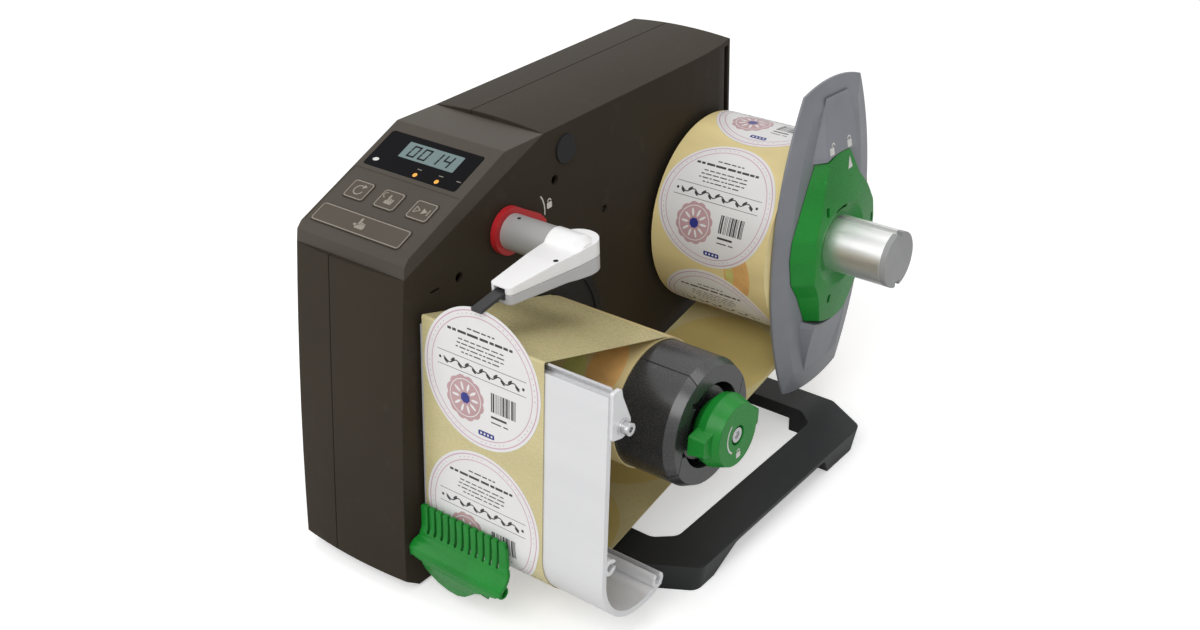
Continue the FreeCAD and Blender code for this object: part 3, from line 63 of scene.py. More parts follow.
def add_camera():
    turn, rise, roll = (math.radians(angle) for angle in CAMERA_ANGLES)
    back = Vector((math.sin(turn) * math.cos(rise), -math.cos(turn) * math.cos(rise), math.sin(rise)))
    right = Vector((math.cos(turn), math.sin(turn), 0))
    up = back.cross(right)
    side = right * math.cos(roll) + up * math.sin(roll)
    top = up * math.cos(roll) - right * math.sin(roll)
    camera = bpy.data.objects.new("Camera", bpy.data.cameras.new("Camera"))
    bpy.context.scene.collection.objects.link(camera)
    camera.data.lens = LENS
    camera.data.sensor_width = SENSOR_WIDTH
    turned = Matrix((side, top, back)).transposed().to_4x4()
    camera.matrix_world = Matrix.Translation(at(*CAMERA_SPOT)) @ turned
    bpy.context.scene.camera = camera


add_camera()


# Materials

SCUFF_SCALE, SCUFF_START, SCUFF_END = 9, 0.62, 0.8
COAT_ROUGHNESS = 0.15
SCATTER_RADIUS, SCATTER_SCALE = (0.004, 0.003, 0.002), 0.2
BEVEL_SAMPLES = 4


def nodes_for(name):
    """A new material with its node tree and its main shader."""
    material = bpy.data.materials.new(name)
    material.use_nodes = True
    return material, material.node_tree, material.node_tree.nodes["Principled BSDF"]


def noise(tree, scale, detail=3.0, stretch=(1, 1, 1)):
    """A noise texture in each piece's own space."""
    place = tree.nodes.new("ShaderNodeTexCoord")
    mapping = tree.nodes.new("ShaderNodeMapping")
    mapping.inputs["Scale"].default_value = stretch
    texture = tree.nodes.new("ShaderNodeTexNoise")
    texture.inputs["Scale"].default_value = scale
    texture.inputs["Detail"].default_value = detail
    tree.links.new(place.outputs["Object"], mapping.inputs["Vector"])
    tree.links.new(mapping.outputs["Vector"], texture.inputs["Vector"])
    return texture.outputs["Fac"]


def blend_colours(tree, factor, first, second):
    """Mixes two colours, each a tuple or the output of another node."""
    mix = tree.nodes.new("ShaderNodeMix")
    mix.data_type = "RGBA"
    tree.links.new(factor, mix.inputs[0])
    for slot, colour in ((6, first), (7, second)):
        if isinstance(colour, tuple):
            mix.inputs[slot].default_value = (*colour, 1)
        else:
            tree.links.new(colour, mix.inputs[slot])
    return mix.outputs[2]


def ranged(tree, value, low, high, start=0.3, end=0.7):
    """Maps the middle of a noise's range to low and high."""
    scale = tree.nodes.new("ShaderNodeMapRange")
    for word, amount in (("From Min", start), ("From Max", end), ("To Min", low), ("To Max", high)):
        scale.inputs[word].default_value = amount
    tree.links.new(value, scale.inputs["Value"])
    return scale.outputs["Result"]


def surface(name, colour, rough=0.5, spread=0.08, patch=18, grain=1400, bump=0.2, depth=0.00006,
            stretch=(1, 1, 1), metallic=0.0, coat=0.0, specular=0.5, edge=0.0, rough_spread=0.06,
            sheen=0.0, scatter=0.0, wear=None):
    """A solid material: uneven colour, uneven gloss, a fine grain in relief and soft edges.

    spread is how far the colour varies, patch and grain are the scales of its blotches and of its
    relief, bump and depth are the relief's strength and height, edge is the radius of the soft edges
    and wear is the colour of scuffs.
    """
    material, tree, shader = nodes_for(name)
    broad = noise(tree, patch, 4, stretch)
    fine = noise(tree, grain, 2, stretch)
    dark = tuple(c * (1 - spread) for c in colour)
    light = tuple(min(1, c * (1 + spread)) for c in colour)
    tint = blend_colours(tree, ranged(tree, broad, 0, 1), dark, light)
    if wear:
        scuffs = ranged(tree, noise(tree, patch * SCUFF_SCALE, 6, stretch), 0, 1, SCUFF_START, SCUFF_END)
        tint = blend_colours(tree, scuffs, tint, wear)
    tree.links.new(tint, shader.inputs["Base Color"])
    tree.links.new(ranged(tree, fine, rough - rough_spread, rough + rough_spread), shader.inputs["Roughness"])
    relief = tree.nodes.new("ShaderNodeBump")
    relief.inputs["Strength"].default_value = bump
    relief.inputs["Distance"].default_value = depth
    tree.links.new(fine, relief.inputs["Height"])
    if edge:
        soft = tree.nodes.new("ShaderNodeBevel")
        soft.samples = BEVEL_SAMPLES
        soft.inputs["Radius"].default_value = edge
        tree.links.new(soft.outputs["Normal"], relief.inputs["Normal"])
    tree.links.new(relief.outputs["Normal"], shader.inputs["Normal"])
    shader.inputs["Metallic"].default_value = metallic
    shader.inputs["Coat Weight"].default_value = coat
    shader.inputs["Coat Roughness"].default_value = COAT_ROUGHNESS
    shader.inputs["Specular IOR Level"].default_value = specular
    shader.inputs["Sheen Weight"].default_value = sheen
    if scatter:
        shader.inputs["Subsurface Weight"].default_value = scatter
        shader.inputs["Subsurface Radius"].default_value = SCATTER_RADIUS
        shader.inputs["Subsurface Scale"].default_value = SCATTER_SCALE
    return material


def paint(material, *names):
    """Gives CAD nodes a finished material."""
    for name in names:
        node = NODES[name]
        node.data.materials.clear()
        node.data.materials.append(material)


def print_ink(name, colour, rough=0.36, spread=0.05):
    return surface(name, colour, rough, spread, 60, 2500, 0.06, 0.00002, specular=0.3)


def paper(name, colour, rough, spread, patch, scatter=0.0):
    """Glassine, with its fibres along the web's width."""
    return surface(name, colour, rough, spread, patch, 900, 0.12, 0.00004, (0.5, 2.2, 2.2), specular=0.4,
                   rough_spread=0.05, scatter=scatter)


def ghost(name, colour, spread, patch):
    """Print that shows through the liner."""
    return surface(name, colour, 0.36, spread, patch, 1200, 0.1, 0.00003, specular=0.4)


# Numbers in order: roughness, spread, patch, grain, bump, depth, and then stretch and metallic for metals.
HOUSING = surface("housing_paint", (0.0375, 0.0295, 0.0205), 0.5, 0.10, 9, 2600, 0.35, 0.00005,
                  edge=0.0012, specular=0.08, wear=(0.048, 0.039, 0.029))
PANEL = surface("panel_plastic", (0.066, 0.056, 0.044), 0.5, 0.07, 14, 3200, 0.3, 0.00004,
                edge=0.0009, specular=0.2)
KEY = surface("key_film", (0.082, 0.067, 0.052), 0.45, 0.05, 20, 3600, 0.2, 0.00003,
              edge=0.0004, specular=0.2)
GREEN = surface("green_plastic", (0.010, 0.222, 0.026), 0.30, 0.12, 30, 1800, 0.25, 0.00005,
                edge=0.0007, specular=0.25, wear=(0.02, 0.28, 0.045))
RED = surface("red_plastic", (0.50, 0.022, 0.028), 0.36, 0.08, 30, 1800, 0.2, 0.00004,
              edge=0.0005, scatter=0.1, specular=0.3)
SLATE = surface("slate_plastic", (0.235, 0.243, 0.268), 0.34, 0.10, 22, 1700, 0.35, 0.00006,
                edge=0.0008, specular=0.3)
DRUM_BLACK = surface("drum_plastic", (0.027, 0.027, 0.028), 0.26, 0.12, 22, 1500, 0.3, 0.00006,
                     edge=0.0007, specular=0.75, wear=(0.07, 0.071, 0.075))
CAP = surface("cap_plastic", (0.34, 0.34, 0.345), 0.42, 0.1, 30, 1900, 0.3, 0.00005,
              edge=0.0006, specular=0.35)
BLACK = surface("black_plastic", (0.016, 0.016, 0.018), 0.45, 0.1, 30, 1900, 0.3, 0.00005,
                edge=0.0005, specular=0.2)
SHAFT = surface("turned_aluminium", (0.80, 0.80, 0.79), 0.36, 0.03, 40, 260, 0.05, 0.00002, (0.5, 6, 6),
                0.85, edge=0.0005, rough_spread=0.04)
PLATE = surface("extruded_aluminium", (0.76, 0.76, 0.77), 0.46, 0.03, 12, 700, 0.2, 0.00003, (0.08, 3, 3),
                0.55, edge=0.0006, rough_spread=0.07)
STEEL = surface("bright_steel", (0.60, 0.60, 0.61), 0.22, 0.06, 90, 900, 0.2, 0.00003, (0.2, 4, 4), 1.0,
                edge=0.0004)
ARM = surface("silver_plastic", (0.93, 0.92, 0.92), 0.36, 0.03, 25, 3000, 0.2, 0.00003,
              metallic=0.1, edge=0.0009, specular=0.4)
# Painted shade: the lower shell is the same silver plastic as the upper one, darkened to stand in for shade
# on its underside.
ARM_PAINTED_SHADE = surface("silver_plastic_painted_shade", (0.52, 0.52, 0.53), 0.36, 0.04, 25, 3000, 0.2, 0.00003,
                  metallic=0.1, edge=0.0009, specular=0.4)
TUBE = surface("satin_tube", (0.37, 0.365, 0.36), 0.36, 0.05, 25, 1800, 0.06, 0.00002, edge=0.0005)
FINGER = surface("finger_plastic", (0.035, 0.035, 0.037), 0.4, 0.08, 40, 2000, 0.3, 0.00004,
                 edge=0.0003, specular=0.3)
FOOT = surface("powder_coat", (0.026, 0.027, 0.028), 0.44, 0.10, 12, 1500, 0.55, 0.00010,
               edge=0.0012, specular=0.2, wear=(0.035, 0.036, 0.038))
RUBBER = surface("rubber", (0.03, 0.03, 0.03), 0.75, 0.12, 30, 900, 0.4, 0.0001, specular=0.2)
BOARD = surface("solder_mask", (0.02, 0.16, 0.07), 0.35, 0.15, 120, 1500, 0.2, 0.00003, coat=0.3)
ZINC = surface("zinc_plate", (0.62, 0.60, 0.52), 0.35, 0.14, 45, 600, 0.2, 0.00004,
               metallic=0.9, edge=0.0005)
CAN = surface("motor_can", (0.42, 0.42, 0.43), 0.38, 0.08, 50, 800, 0.2, 0.00004, (0.3, 3, 3), 0.9)
FELT = surface("felt", (0.62, 0.60, 0.52), 0.95, 0.12, 60, 2500, 0.8, 0.0004, sheen=0.3)
BELT = surface("belt_rubber", (0.03, 0.03, 0.03), 0.6, 0.1, 60, 1500, 0.4, 0.00008)
PAPERBOARD = surface("paperboard", (0.42, 0.31, 0.19), 0.85, 0.1, 60, 1800, 0.5, 0.00008)
LAMP = surface("amber_lamp", (0.95, 0.42, 0.03), 0.25, 0.05, 200, 3000, 0.1, 0.00002, coat=0.4)
GLASS_DARK = surface("smoked_window", (0.005, 0.005, 0.006), 0.25, 0.1, 40, 3000, 0.03, 0.00001,
                     specular=0.04)
LCD = surface("display_face", (0.165, 0.225, 0.228), 0.4, 0.06, 30, 5000, 0.05, 0.00001, specular=0.15)
INK = surface("display_ink", (0.006, 0.008, 0.010), 0.4, 0.08, 60, 3000, 0.1, 0.00001, specular=0.1)
SILK = surface("screen_ink", (0.70, 0.69, 0.66), 0.5, 0.05, 80, 3000, 0.2, 0.00002, specular=0.2)
GREY_INK = surface("key_ink", (0.30, 0.27, 0.23), 0.5, 0.06, 80, 3000, 0.2, 0.00002, specular=0.2)
LINER = paper("glassine_liner", (0.585, 0.515, 0.275), 0.28, 0.10, 9, scatter=0.15)
ROLL_LINER = paper("wound_glassine", (0.76, 0.63, 0.31), 0.34, 0.14, 14)
DRUM_LINER = paper("wound_waste_liner", (0.72, 0.58, 0.29), 0.34, 0.16, 16)
LABEL = surface("label_face", (0.78, 0.77, 0.765), 0.34, 0.02, 30, 2500, 0.06, 0.00002, specular=0.4)
MAUVE = print_ink("mauve_print", (0.52, 0.335, 0.345))
ROSE = print_ink("rose_line", (0.60, 0.36, 0.46))
BLUE = print_ink("blue_print", (0.035, 0.045, 0.24), spread=0.06)
TEXT = print_ink("print_black", (0.05, 0.045, 0.05), 0.4, 0.08)
GHOST = ghost("ghost_print", (0.56, 0.45, 0.17), 0.07, 20)
GHOST_WARM = ghost("ghost_warm", (0.76, 0.44, 0.16), 0.16, 90)
GHOST_GREEN = ghost("ghost_green", (0.60, 0.60, 0.20), 0.14, 90)

paint(HOUSING, "main_housing", "side_cover")
paint(PANEL, "control_panel")
paint(KEY, "key_clear", "key_step", "key_feed", "key_start")
paint(GLASS_DARK, "display_window")
paint(LCD, "lcd_module")
paint(LAMP, "led_lamps")
paint(BOARD, "display_board", "control_board", "power_supply")
paint(BLACK, "side_plug", "key_switches", "mains_inlet", "power_switch", "rewind_disc")
paint(CAP, "shaft_end_cap")
paint(STEEL, "cover_screws", "bracket_screw", "bracket_washer", "knob_screw", "brake_rod", "foot_screws",
      "peel_edge", "shaft_bearings", "signal_socket", "brake_disc")
paint(RUBBER, "housing_feet")
paint(SHAFT, "supply_shaft", "motor_pulley", "drum_pulley")
paint(PLATE, "dispensing_plate", "end_bracket")
paint(ARM, "arm_upper_shell")
paint(ARM_PAINTED_SHADE, "arm_lower_shell")
paint(TUBE, "sensor_tube")
paint(RED, "sensor_lock_ring", "power_rocker")
paint(FINGER, "sensor_finger")
paint(GREEN, "flange_lock_ring", "rewind_knob", "label_brake")
paint(SLATE, "margin_stop_flange")
paint(DRUM_BLACK, "rewind_drum", "rewind_jaw_upper", "rewind_jaw_lower", "reel_disc")
paint(FOOT, "foot_frame")
paint(ZINC, "chassis_plate")
paint(CAN, "drive_motor")
paint(BELT, "drive_belt")
paint(FELT, "brake_felt")
paint(PAPERBOARD, "roll_core")
paint(LINER, "liner_web")
paint(ROLL_LINER, "label_roll")
paint(DRUM_LINER, "wound_liner")
paint(LABEL, "web_labels")


# Flat shapes in (u, v) millimetres, laid on surfaces

def add_mesh(name, mesh, material, body):
    mesh.materials.append(material)
    piece = bpy.data.objects.new(name, mesh)
    bpy.context.scene.collection.objects.link(piece)
    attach(piece, body)
    return piece


def disc(u, v, wide, tall=None, count=64, turn=0.0):
    """A circle, or an ellipse with its own two radii and turn."""
    tall = wide if tall is None else tall
    cosine, sine = math.cos(turn), math.sin(turn)
    spots = []
    for index in range(count):
        angle = 2 * math.pi * index / count
        a, b = wide * math.cos(angle), tall * math.sin(angle)
        spots.append((u + a * cosine - b * sine, v + a * sine + b * cosine))
    return spots


def bar(u, v, wide, tall):
    return [(u, v), (u + wide, v), (u + wide, v + tall), (u, v + tall)]


def rounded_bar(u, v, wide, tall, corner, count=6):
    """A rectangle with round corners, from its lower left."""
    spots = []
    left, right = u + corner, u + wide - corner
    low, high = v + corner, v + tall - corner
    for cu, cv, start in ((right, high, 0), (left, high, 90), (left, low, 180), (right, low, 270)):
        for index in range(count + 1):
            angle = math.radians(start + 90 * index / count)
            spots.append((cu + corner * math.cos(angle), cv + corner * math.sin(angle)))
    return spots


def scalloped(u, v, radius, lobes, depth, count=96):
    """A circle with a lobed edge."""
    spots = []
    for index in range(count):
        angle = 2 * math.pi * index / count
        reach = radius * (1 + depth * abs(math.sin(lobes * angle / 2)))
        spots.append((u + reach * math.cos(angle), v + reach * math.sin(angle)))
    return spots


def hoop(outer, inner):
    """A closed band between two outlines of the same number of points, as four-sided shapes."""
    count = len(outer)
    return [[outer[i], outer[(i + 1) % count], inner[(i + 1) % count], inner[i]] for i in range(count)]


def stroke(spots, wide):
    """An open line of even width, as four-sided shapes."""
    shapes = []
    for (a, b), (c, d) in zip(spots, spots[1:]):
        length = math.hypot(c - a, d - b) or 1
        nu, nv = -(d - b) / length * wide / 2, (c - a) / length * wide / 2
        shapes.append([(a + nu, b + nv), (a - nu, b - nv), (c - nu, d - nv), (c + nu, d + nv)])
    return shapes


def arc_line(u, v, radius, start, end, wide, count=18):
    """A curved line of even width about a centre, between two angles in degrees."""
    spots = []
    for index in range(count + 1):
        angle = math.radians(start + (end - start) * index / count)
        spots.append((u + radius * math.cos(angle), v + radius * math.sin(angle)))
    return stroke(spots, wide)


def lay(name, shapes, where, lift, material, body, step=None):
    """Lays shapes on a surface: where(u, v, lift) gives the point, and step the cuts that let them bend."""
    shell = bmesh.new()
    for shape in shapes:
        area = sum(a[0] * b[1] - b[0] * a[1] for a, b in zip(shape, shape[1:] + shape[:1]))
        ordered = shape if area > 0 else shape[::-1]
        shell.faces.new([shell.verts.new((u, v, 0)) for u, v in ordered])
    if step:
        heights = [vert.co.y for vert in shell.verts]
        for index in range(math.floor(min(heights) / step), math.ceil(max(heights) / step) + 1):
            everything = shell.verts[:] + shell.edges[:] + shell.faces[:]
            bmesh.ops.bisect_plane(shell, geom=everything, plane_co=(0, index * step, 0), plane_no=(0, 1, 0))
    bmesh.ops.triangulate(shell, faces=[face for face in shell.faces if len(face.verts) > 4])
    for vert in shell.verts:
        vert.co = where(vert.co.x, vert.co.y, lift)
    mesh = bpy.data.meshes.new(name)
    shell.to_mesh(mesh)
    shell.free()
    return add_mesh(name, mesh, material, body)


# The liner's path through the machine, as straight runs and arcs in (y, z)

LEAN = math.radians(4.9)
SUPPLY, DRUM = (278.5, 138.2), (100.0, 103.7)
ROLL_RADIUS, DRUM_RADIUS = 64.3, 38.3
WOUND_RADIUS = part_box("wound_liner")[1].z * 1000 - DRUM[1]
GAP, LINER_THICK, LINER_BUILD = 0.3, 0.4, 0.9
PLATE_TOP, PLATE_FOOT_Z, PLATE_LIP_Y = (6.5, 170.0), 22.4, 49.5
PLATE_BEND, LIP_BEND, LIP_LENGTH, LIP_RISE = 32.4, 14, 12, 3.4
PEEL_EDGE_HEIGHT, CREST_CLEARANCE, CREST_BEND = 5.5, 0.2, 0.8
WEB_LIP_BEND = 20


def shifted(points, shift):
    """A path of corners and their bend radii, moved sideways by an even amount."""
    moved = []
    for index, point in enumerate(points):
        here = Vector(point[:2])
        radius = point[2] if len(point) > 2 else 0
        legs = []
        if index > 0:
            legs.append((here - Vector(points[index - 1][:2])).normalized())
        if index < len(points) - 1:
            legs.append((Vector(points[index + 1][:2]) - here).normalized())
        normals = [Vector((-leg.y, leg.x)) for leg in legs]
        if len(legs) == 1:
            spot = here + normals[0] * shift
        else:
            middle = (normals[0] + normals[1]).normalized()
            spot = here + middle * (shift / middle.dot(normals[0]))
            left = legs[0].x * legs[1].y - legs[0].y * legs[1].x > 0
            radius = max(radius - shift if left else radius + shift, 0) if radius else 0
        moved.append((spot.x, spot.y, radius))
    return moved


def tangent_from(spot, centre, radius, side):
    """Where a straight line from a spot meets a circle."""
    away = Vector((spot[0] - centre[0], spot[1] - centre[1]))
    start = math.atan2(away.y, away.x) + math.acos(radius / away.length) * side
    return centre[0] + radius * math.cos(start), centre[1] + radius * math.sin(start)


def web_corners():
    """The liner's corners from the roll, round the plate's lip and foot and over its edge, to the drum."""
    top, foot, lip_y = PLATE_TOP, PLATE_FOOT_Z, PLATE_LIP_Y
    bend = (top[0] - (top[1] - foot) * math.tan(LEAN), foot, PLATE_BEND)
    plate = [top, bend, (lip_y - LIP_LENGTH, foot, LIP_BEND), (lip_y, foot + LIP_RISE)]
    _, corner, under, _ = shifted(plate, -GAP)
    rise = top[1] + PEEL_EDGE_HEIGHT + GAP + CREST_CLEARANCE
    crest = (corner[0] + (rise - corner[1]) * math.tan(LEAN), rise, CREST_BEND)
    lip = (under[0], under[1], WEB_LIP_BEND)
    roll = tangent_from(lip, SUPPLY, ROLL_RADIUS + GAP + LINER_THICK, 1)
    drum = tangent_from(crest, DRUM, DRUM_RADIUS + GAP + LINER_BUILD + GAP, -1)
    return [roll, lip, corner, crest, drum]


def path_pieces(points):
    """Runs ("line", length, start, end) and bends ("arc", length, centre, start, turning, radius)."""
    pieces = []
    here = Vector(points[0][:2])
    for index in range(1, len(points)):
        corner = Vector(points[index][:2])
        radius = points[index][2] if index < len(points) - 1 and len(points[index]) > 2 else 0
        if radius <= 0:
            pieces.append(("line", (corner - here).length, here, corner))
            here = corner
            continue
        back = (here - corner).normalized()
        ahead = (Vector(points[index + 1][:2]) - corner).normalized()
        half = back.angle(ahead) / 2
        first = corner + back * (radius / math.tan(half))
        last = corner + ahead * (radius / math.tan(half))
        centre = corner + (back + ahead).normalized() * (radius / math.sin(half))
        turning = 1 if (-back.x * ahead.y + back.y * ahead.x) > 0 else -1
        pieces.append(("line", (first - here).length, here, first))
        pieces.append(("arc", radius * (math.pi - 2 * half), centre, first, turning, radius))
        here = last
    return pieces


CORNERS = web_corners()
WEB = path_pieces(CORNERS)
FOOT_CORNER, PLATE_RUN = CORNERS[2], WEB[4]


def web_spot(s, lift):
    """The point at a length along the web, raised from its inner side towards its labels."""
    for piece in WEB:
        if s <= piece[1] or piece is WEB[-1]:
            break
        s -= piece[1]
    if piece[0] == "line":
        leg = (piece[3] - piece[2]).normalized()
        spot = piece[2] + leg * s
    else:
        _, _, centre, first, turning, radius = piece
        swing = s / radius * turning
        arm = first - centre
        arm = Vector((arm.x * math.cos(swing) - arm.y * math.sin(swing),
                      arm.x * math.sin(swing) + arm.y * math.cos(swing)))
        spot = centre + arm
        leg = Vector((-arm.y, arm.x)).normalized() * turning
    out = Vector((-leg.y, leg.x))
    return spot + out * lift


def on_web(centre_x, centre_s):
    """The web's labelled side, about a point at a length along it."""
    def where(u, v, lift):
        spot = web_spot(centre_s + v, lift)
        return at(centre_x + u, spot.x, spot.y)
    return where


def around(centre, radius, centre_x, centre_angle):
    """A cylinder about a line along X: v runs down its front."""
    def where(u, v, lift):
        angle = math.radians(centre_angle) - v / radius
        reach = radius + lift
        return at(centre_x + u, centre[0] + reach * math.cos(angle), centre[1] + reach * math.sin(angle))
    return where


def on_roll(centre_x, centre_angle):
    """The roll of labels."""
    return around(SUPPLY, ROLL_RADIUS, centre_x, centre_angle)


def on_drum(centre_x, centre_angle):
    """The liner wound on the drum."""
    return around(DRUM, WOUND_RADIUS, centre_x, centre_angle)


def on_slope(centre_x, up_z):
    """The plane of the dispensing plate's front, also above its top edge."""
    def where(u, v, lift):
        along = up_z / math.cos(LEAN) + v
        return at(centre_x + u, FOOT_CORNER[0] + along * math.sin(LEAN) - lift * math.cos(LEAN),
                  FOOT_CORNER[1] + along * math.cos(LEAN) + lift * math.sin(LEAN))
    return where


# Round labels with plain ornament

LABEL_RADIUS, LABEL_THICK, PRINT_LIFT = 41.2, 0.18, 0.03
EDGE_COUNT, BEND_STEP = 96, 3.0

# Outer and inner edge of each rim line, counted in from the label's edge
RIM_RINGS = ((1.6, 2.2), (5.3, 5.8))
BEAD_COUNT, BEAD_GROUP, BEAD_RUN = 72, 9, 6
BEAD_INSET, BEAD_LONG, BEAD_THICK = 3.7, 0.55, 0.25

# Height on the label, height of the letters and share of the label's width
PRINT_ROWS = ((27.0, 0.8, 0.5), (23.2, 1.5, 1.0), (19.4, 0.7, 0.6), (16.9, 0.7, 0.6), (14.4, 0.7, 0.6),
              (11.9, 0.7, 0.45))
BOLD_ROW, BOLD_STRETCH, PRINT_MARGIN = 1, 1.5, 8
WORD_SHORT, WORD_LONG, SPACE_SHORT, SPACE_LONG = 1.4, 5.2, 0.7, 1.3

VINE_V, VINE_HALF, VINE_COUNT = 4.6, 27, 121
VINE_SWING, VINE_RATE, VINE_THICK = 1.25, 0.62, 0.7
LEAF_COUNT, LEAF_START, LEAF_PITCH = 11, -25.3, 5.07
LEAF_OFFSET, LEAF_LONG, LEAF_WIDE, LEAF_TURN = 1.1, 1.9, 0.75, 0.7
VINE_DOT_U, VINE_DOT_RADIUS = 29.5, 0.9
RULE_HALF, RULE_THICK, RULE_ROWS = 31.5, 0.3, (9.0, 0.4)

STRIPES_START, STRIPES_END, STRIPES_V, STRIPES_TALL = 7.0, 24.5, -16.5, 11.5
STRIPE_WIDTHS, STRIPE_GAPS = (0.35, 0.5, 0.8, 1.2), (0.4, 0.6, 0.9)
STRIPE_NOTES = ((7.0, -20.2, 11.0, 1.3), (7.0, -23.2, 7.2, 0.7), (15.6, -23.2, 3.4, 0.7))

ROSETTE, ROSETTE_RADIUS, ROSETTE_LOBES, ROSETTE_DEPTH = (-11.5, -14.6), 12.6, 12, 0.09
ROSETTE_RING, PETAL_COUNT, PETAL_REACH, PETAL_LONG, PETAL_WIDE = (11.3, 10.8), 10, 6.9, 2.6, 0.8
EYE_RADIUS, EYE_LOBES, EYE_DEPTH = 3.0, 8, 0.12

BORDER_U, BORDER_V, BORDER_WIDE, BORDER_TALL, BORDER_CORNER = -2.2, -33.4, 11.4, 3.0, 0.8
BORDER_DOTS, BORDER_DOT_START, BORDER_DOT_PITCH, BORDER_DOT_RADIUS = 4, -0.2, 2.5, 0.7


def print_rows():
    """Rows of bars that stand for small print."""
    marks = []
    words = random.Random(11)
    for row, (v, tall, share) in enumerate(PRINT_ROWS):
        half = math.sqrt((LABEL_RADIUS - PRINT_MARGIN) ** 2 - v ** 2) * share
        u = -half
        while u < half - 1:
            stretch = BOLD_STRETCH if row == BOLD_ROW else 1
            word = min(words.uniform(WORD_SHORT, WORD_LONG) * stretch, half - u)
            marks.append(bar(u, v, word, tall))
            u += word + words.uniform(SPACE_SHORT, SPACE_LONG)
    return marks


def vine():
    """A waved line with leaves, between two dots and two rules."""
    step = 2 * VINE_HALF / (VINE_COUNT - 1)
    wave = [-VINE_HALF + step * i for i in range(VINE_COUNT)]
    marks = stroke([(u, VINE_V + VINE_SWING * math.sin(u * VINE_RATE)) for u in wave], VINE_THICK)
    for index in range(LEAF_COUNT):
        side = 1 if index % 2 else -1
        u, v = LEAF_START + LEAF_PITCH * index, VINE_V + side * LEAF_OFFSET
        marks.append(disc(u, v, LEAF_LONG, LEAF_WIDE, 16, LEAF_TURN * side))
    marks += [disc(side * VINE_DOT_U, VINE_V, VINE_DOT_RADIUS, count=16) for side in (-1, 1)]
    return marks + [bar(-RULE_HALF, v, 2 * RULE_HALF, RULE_THICK) for v in RULE_ROWS]


def stripe_pattern():
    """Upright bars of random width, with three short lines below."""
    marks = []
    stripes = random.Random(7)
    u = STRIPES_START
    while u < STRIPES_END:
        wide = stripes.choice(STRIPE_WIDTHS)
        marks.append(bar(u, STRIPES_V, wide, STRIPES_TALL))
        u += wide + stripes.choice(STRIPE_GAPS)
    return marks + [bar(*note) for note in STRIPE_NOTES]


def bead_ring():
    """Short dashes round the rim, in groups."""
    radius = LABEL_RADIUS - BEAD_INSET
    beads = []
    for index in range(BEAD_COUNT):
        if index % BEAD_GROUP < BEAD_RUN:
            angle = 2 * math.pi * index / BEAD_COUNT
            u, v = radius * math.cos(angle), radius * math.sin(angle)
            beads.append(disc(u, v, BEAD_LONG, BEAD_THICK, 8, angle + math.pi / 2))
    return beads


def rosette_petals():
    """A thin ring and the petals inside it."""
    u, v = ROSETTE
    petals = hoop(*(disc(u, v, radius, count=48) for radius in ROSETTE_RING))
    for index in range(PETAL_COUNT):
        angle = 2 * math.pi * index / PETAL_COUNT
        petal_u, petal_v = u + PETAL_REACH * math.cos(angle), v + PETAL_REACH * math.sin(angle)
        petals.append(disc(petal_u, petal_v, PETAL_LONG, PETAL_WIDE, 16, angle))
    return petals


def rim_lines():
    lines = []
    for insets in RIM_RINGS:
        lines += hoop(*(disc(0, 0, LABEL_RADIUS - inset, count=EDGE_COUNT) for inset in insets))
    return lines


def border_dots():
    middle = BORDER_V + BORDER_TALL / 2
    places = [BORDER_DOT_START + BORDER_DOT_PITCH * index for index in range(BORDER_DOTS)]
    return [disc(u, middle, BORDER_DOT_RADIUS, count=12) for u in places]


def label_rim(tag, where, body, base):
    """The cut edge of a label, from its liner up to its face."""
    wall = bmesh.new()
    ring = []
    for u, v in disc(0, 0, LABEL_RADIUS, count=EDGE_COUNT):
        ring.append((wall.verts.new(where(u, v, base)), wall.verts.new(where(u, v, base + LABEL_THICK))))
    for index, (low, high) in enumerate(ring):
        following = ring[(index + 1) % len(ring)]
        wall.faces.new((low, following[0], following[1], high))
    mesh = bpy.data.meshes.new(f"label_{tag}_rim")
    wall.to_mesh(mesh)
    wall.free()
    add_mesh(f"label_{tag}_rim", mesh, LABEL, body)


def label_art(tag, where, body, base, step=BEND_STEP):
    """A label with rim lines, rows of small print, a vine, a rosette, a bar pattern and a border mark."""
    face = base + LABEL_THICK
    outline = disc(0, 0, LABEL_RADIUS, count=EDGE_COUNT)
    lay(f"label_{tag}_face", [outline], where, face, LABEL, body, step)
    label_rim(tag, where, body, base)
    under, over = face + PRINT_LIFT, face + 2 * PRINT_LIFT
    border = rounded_bar(BORDER_U, BORDER_V, BORDER_WIDE, BORDER_TALL, BORDER_CORNER)
    prints = (
        ("rings", rim_lines(), under, ROSE),
        ("beads", bead_ring(), under, ROSE),
        ("rosette", [scalloped(*ROSETTE, ROSETTE_RADIUS, ROSETTE_LOBES, ROSETTE_DEPTH)], under, MAUVE),
        ("petals", rosette_petals(), over, LABEL),
        ("eye", [scalloped(*ROSETTE, EYE_RADIUS, EYE_LOBES, EYE_DEPTH, 48)], over, BLUE),
        ("border", [border], under, BLUE),
        ("border_marks", border_dots(), over, LABEL),
        ("print", print_rows() + vine() + stripe_pattern(), under, TEXT),
    )
    for name, shapes, lift, ink in prints:
        lay(f"label_{tag}_{name}", shapes, where, lift, ink, body, step)


MEDIA_EDGE_X, LABEL_INSET = 4.2, 43.0
MID_X = MEDIA_EDGE_X + LABEL_INSET
LOWER_LABEL_Z, UPPER_LABEL_Z = 43.0, 129.5
FRONT_ANGLE, LABEL_PITCH_ANGLE = 149.9, 77.1
ON_LINER, ON_ROLL = LINER_THICK + 0.02, 0.05
PLATE_RUN_START = sum(piece[1] for piece in WEB[:4])
FOOT_TANGENT = (Vector(FOOT_CORNER[:2]) - Vector(PLATE_RUN[2])).length
LOWER_LABEL_S = PLATE_RUN_START - FOOT_TANGENT + LOWER_LABEL_Z / math.cos(LEAN)

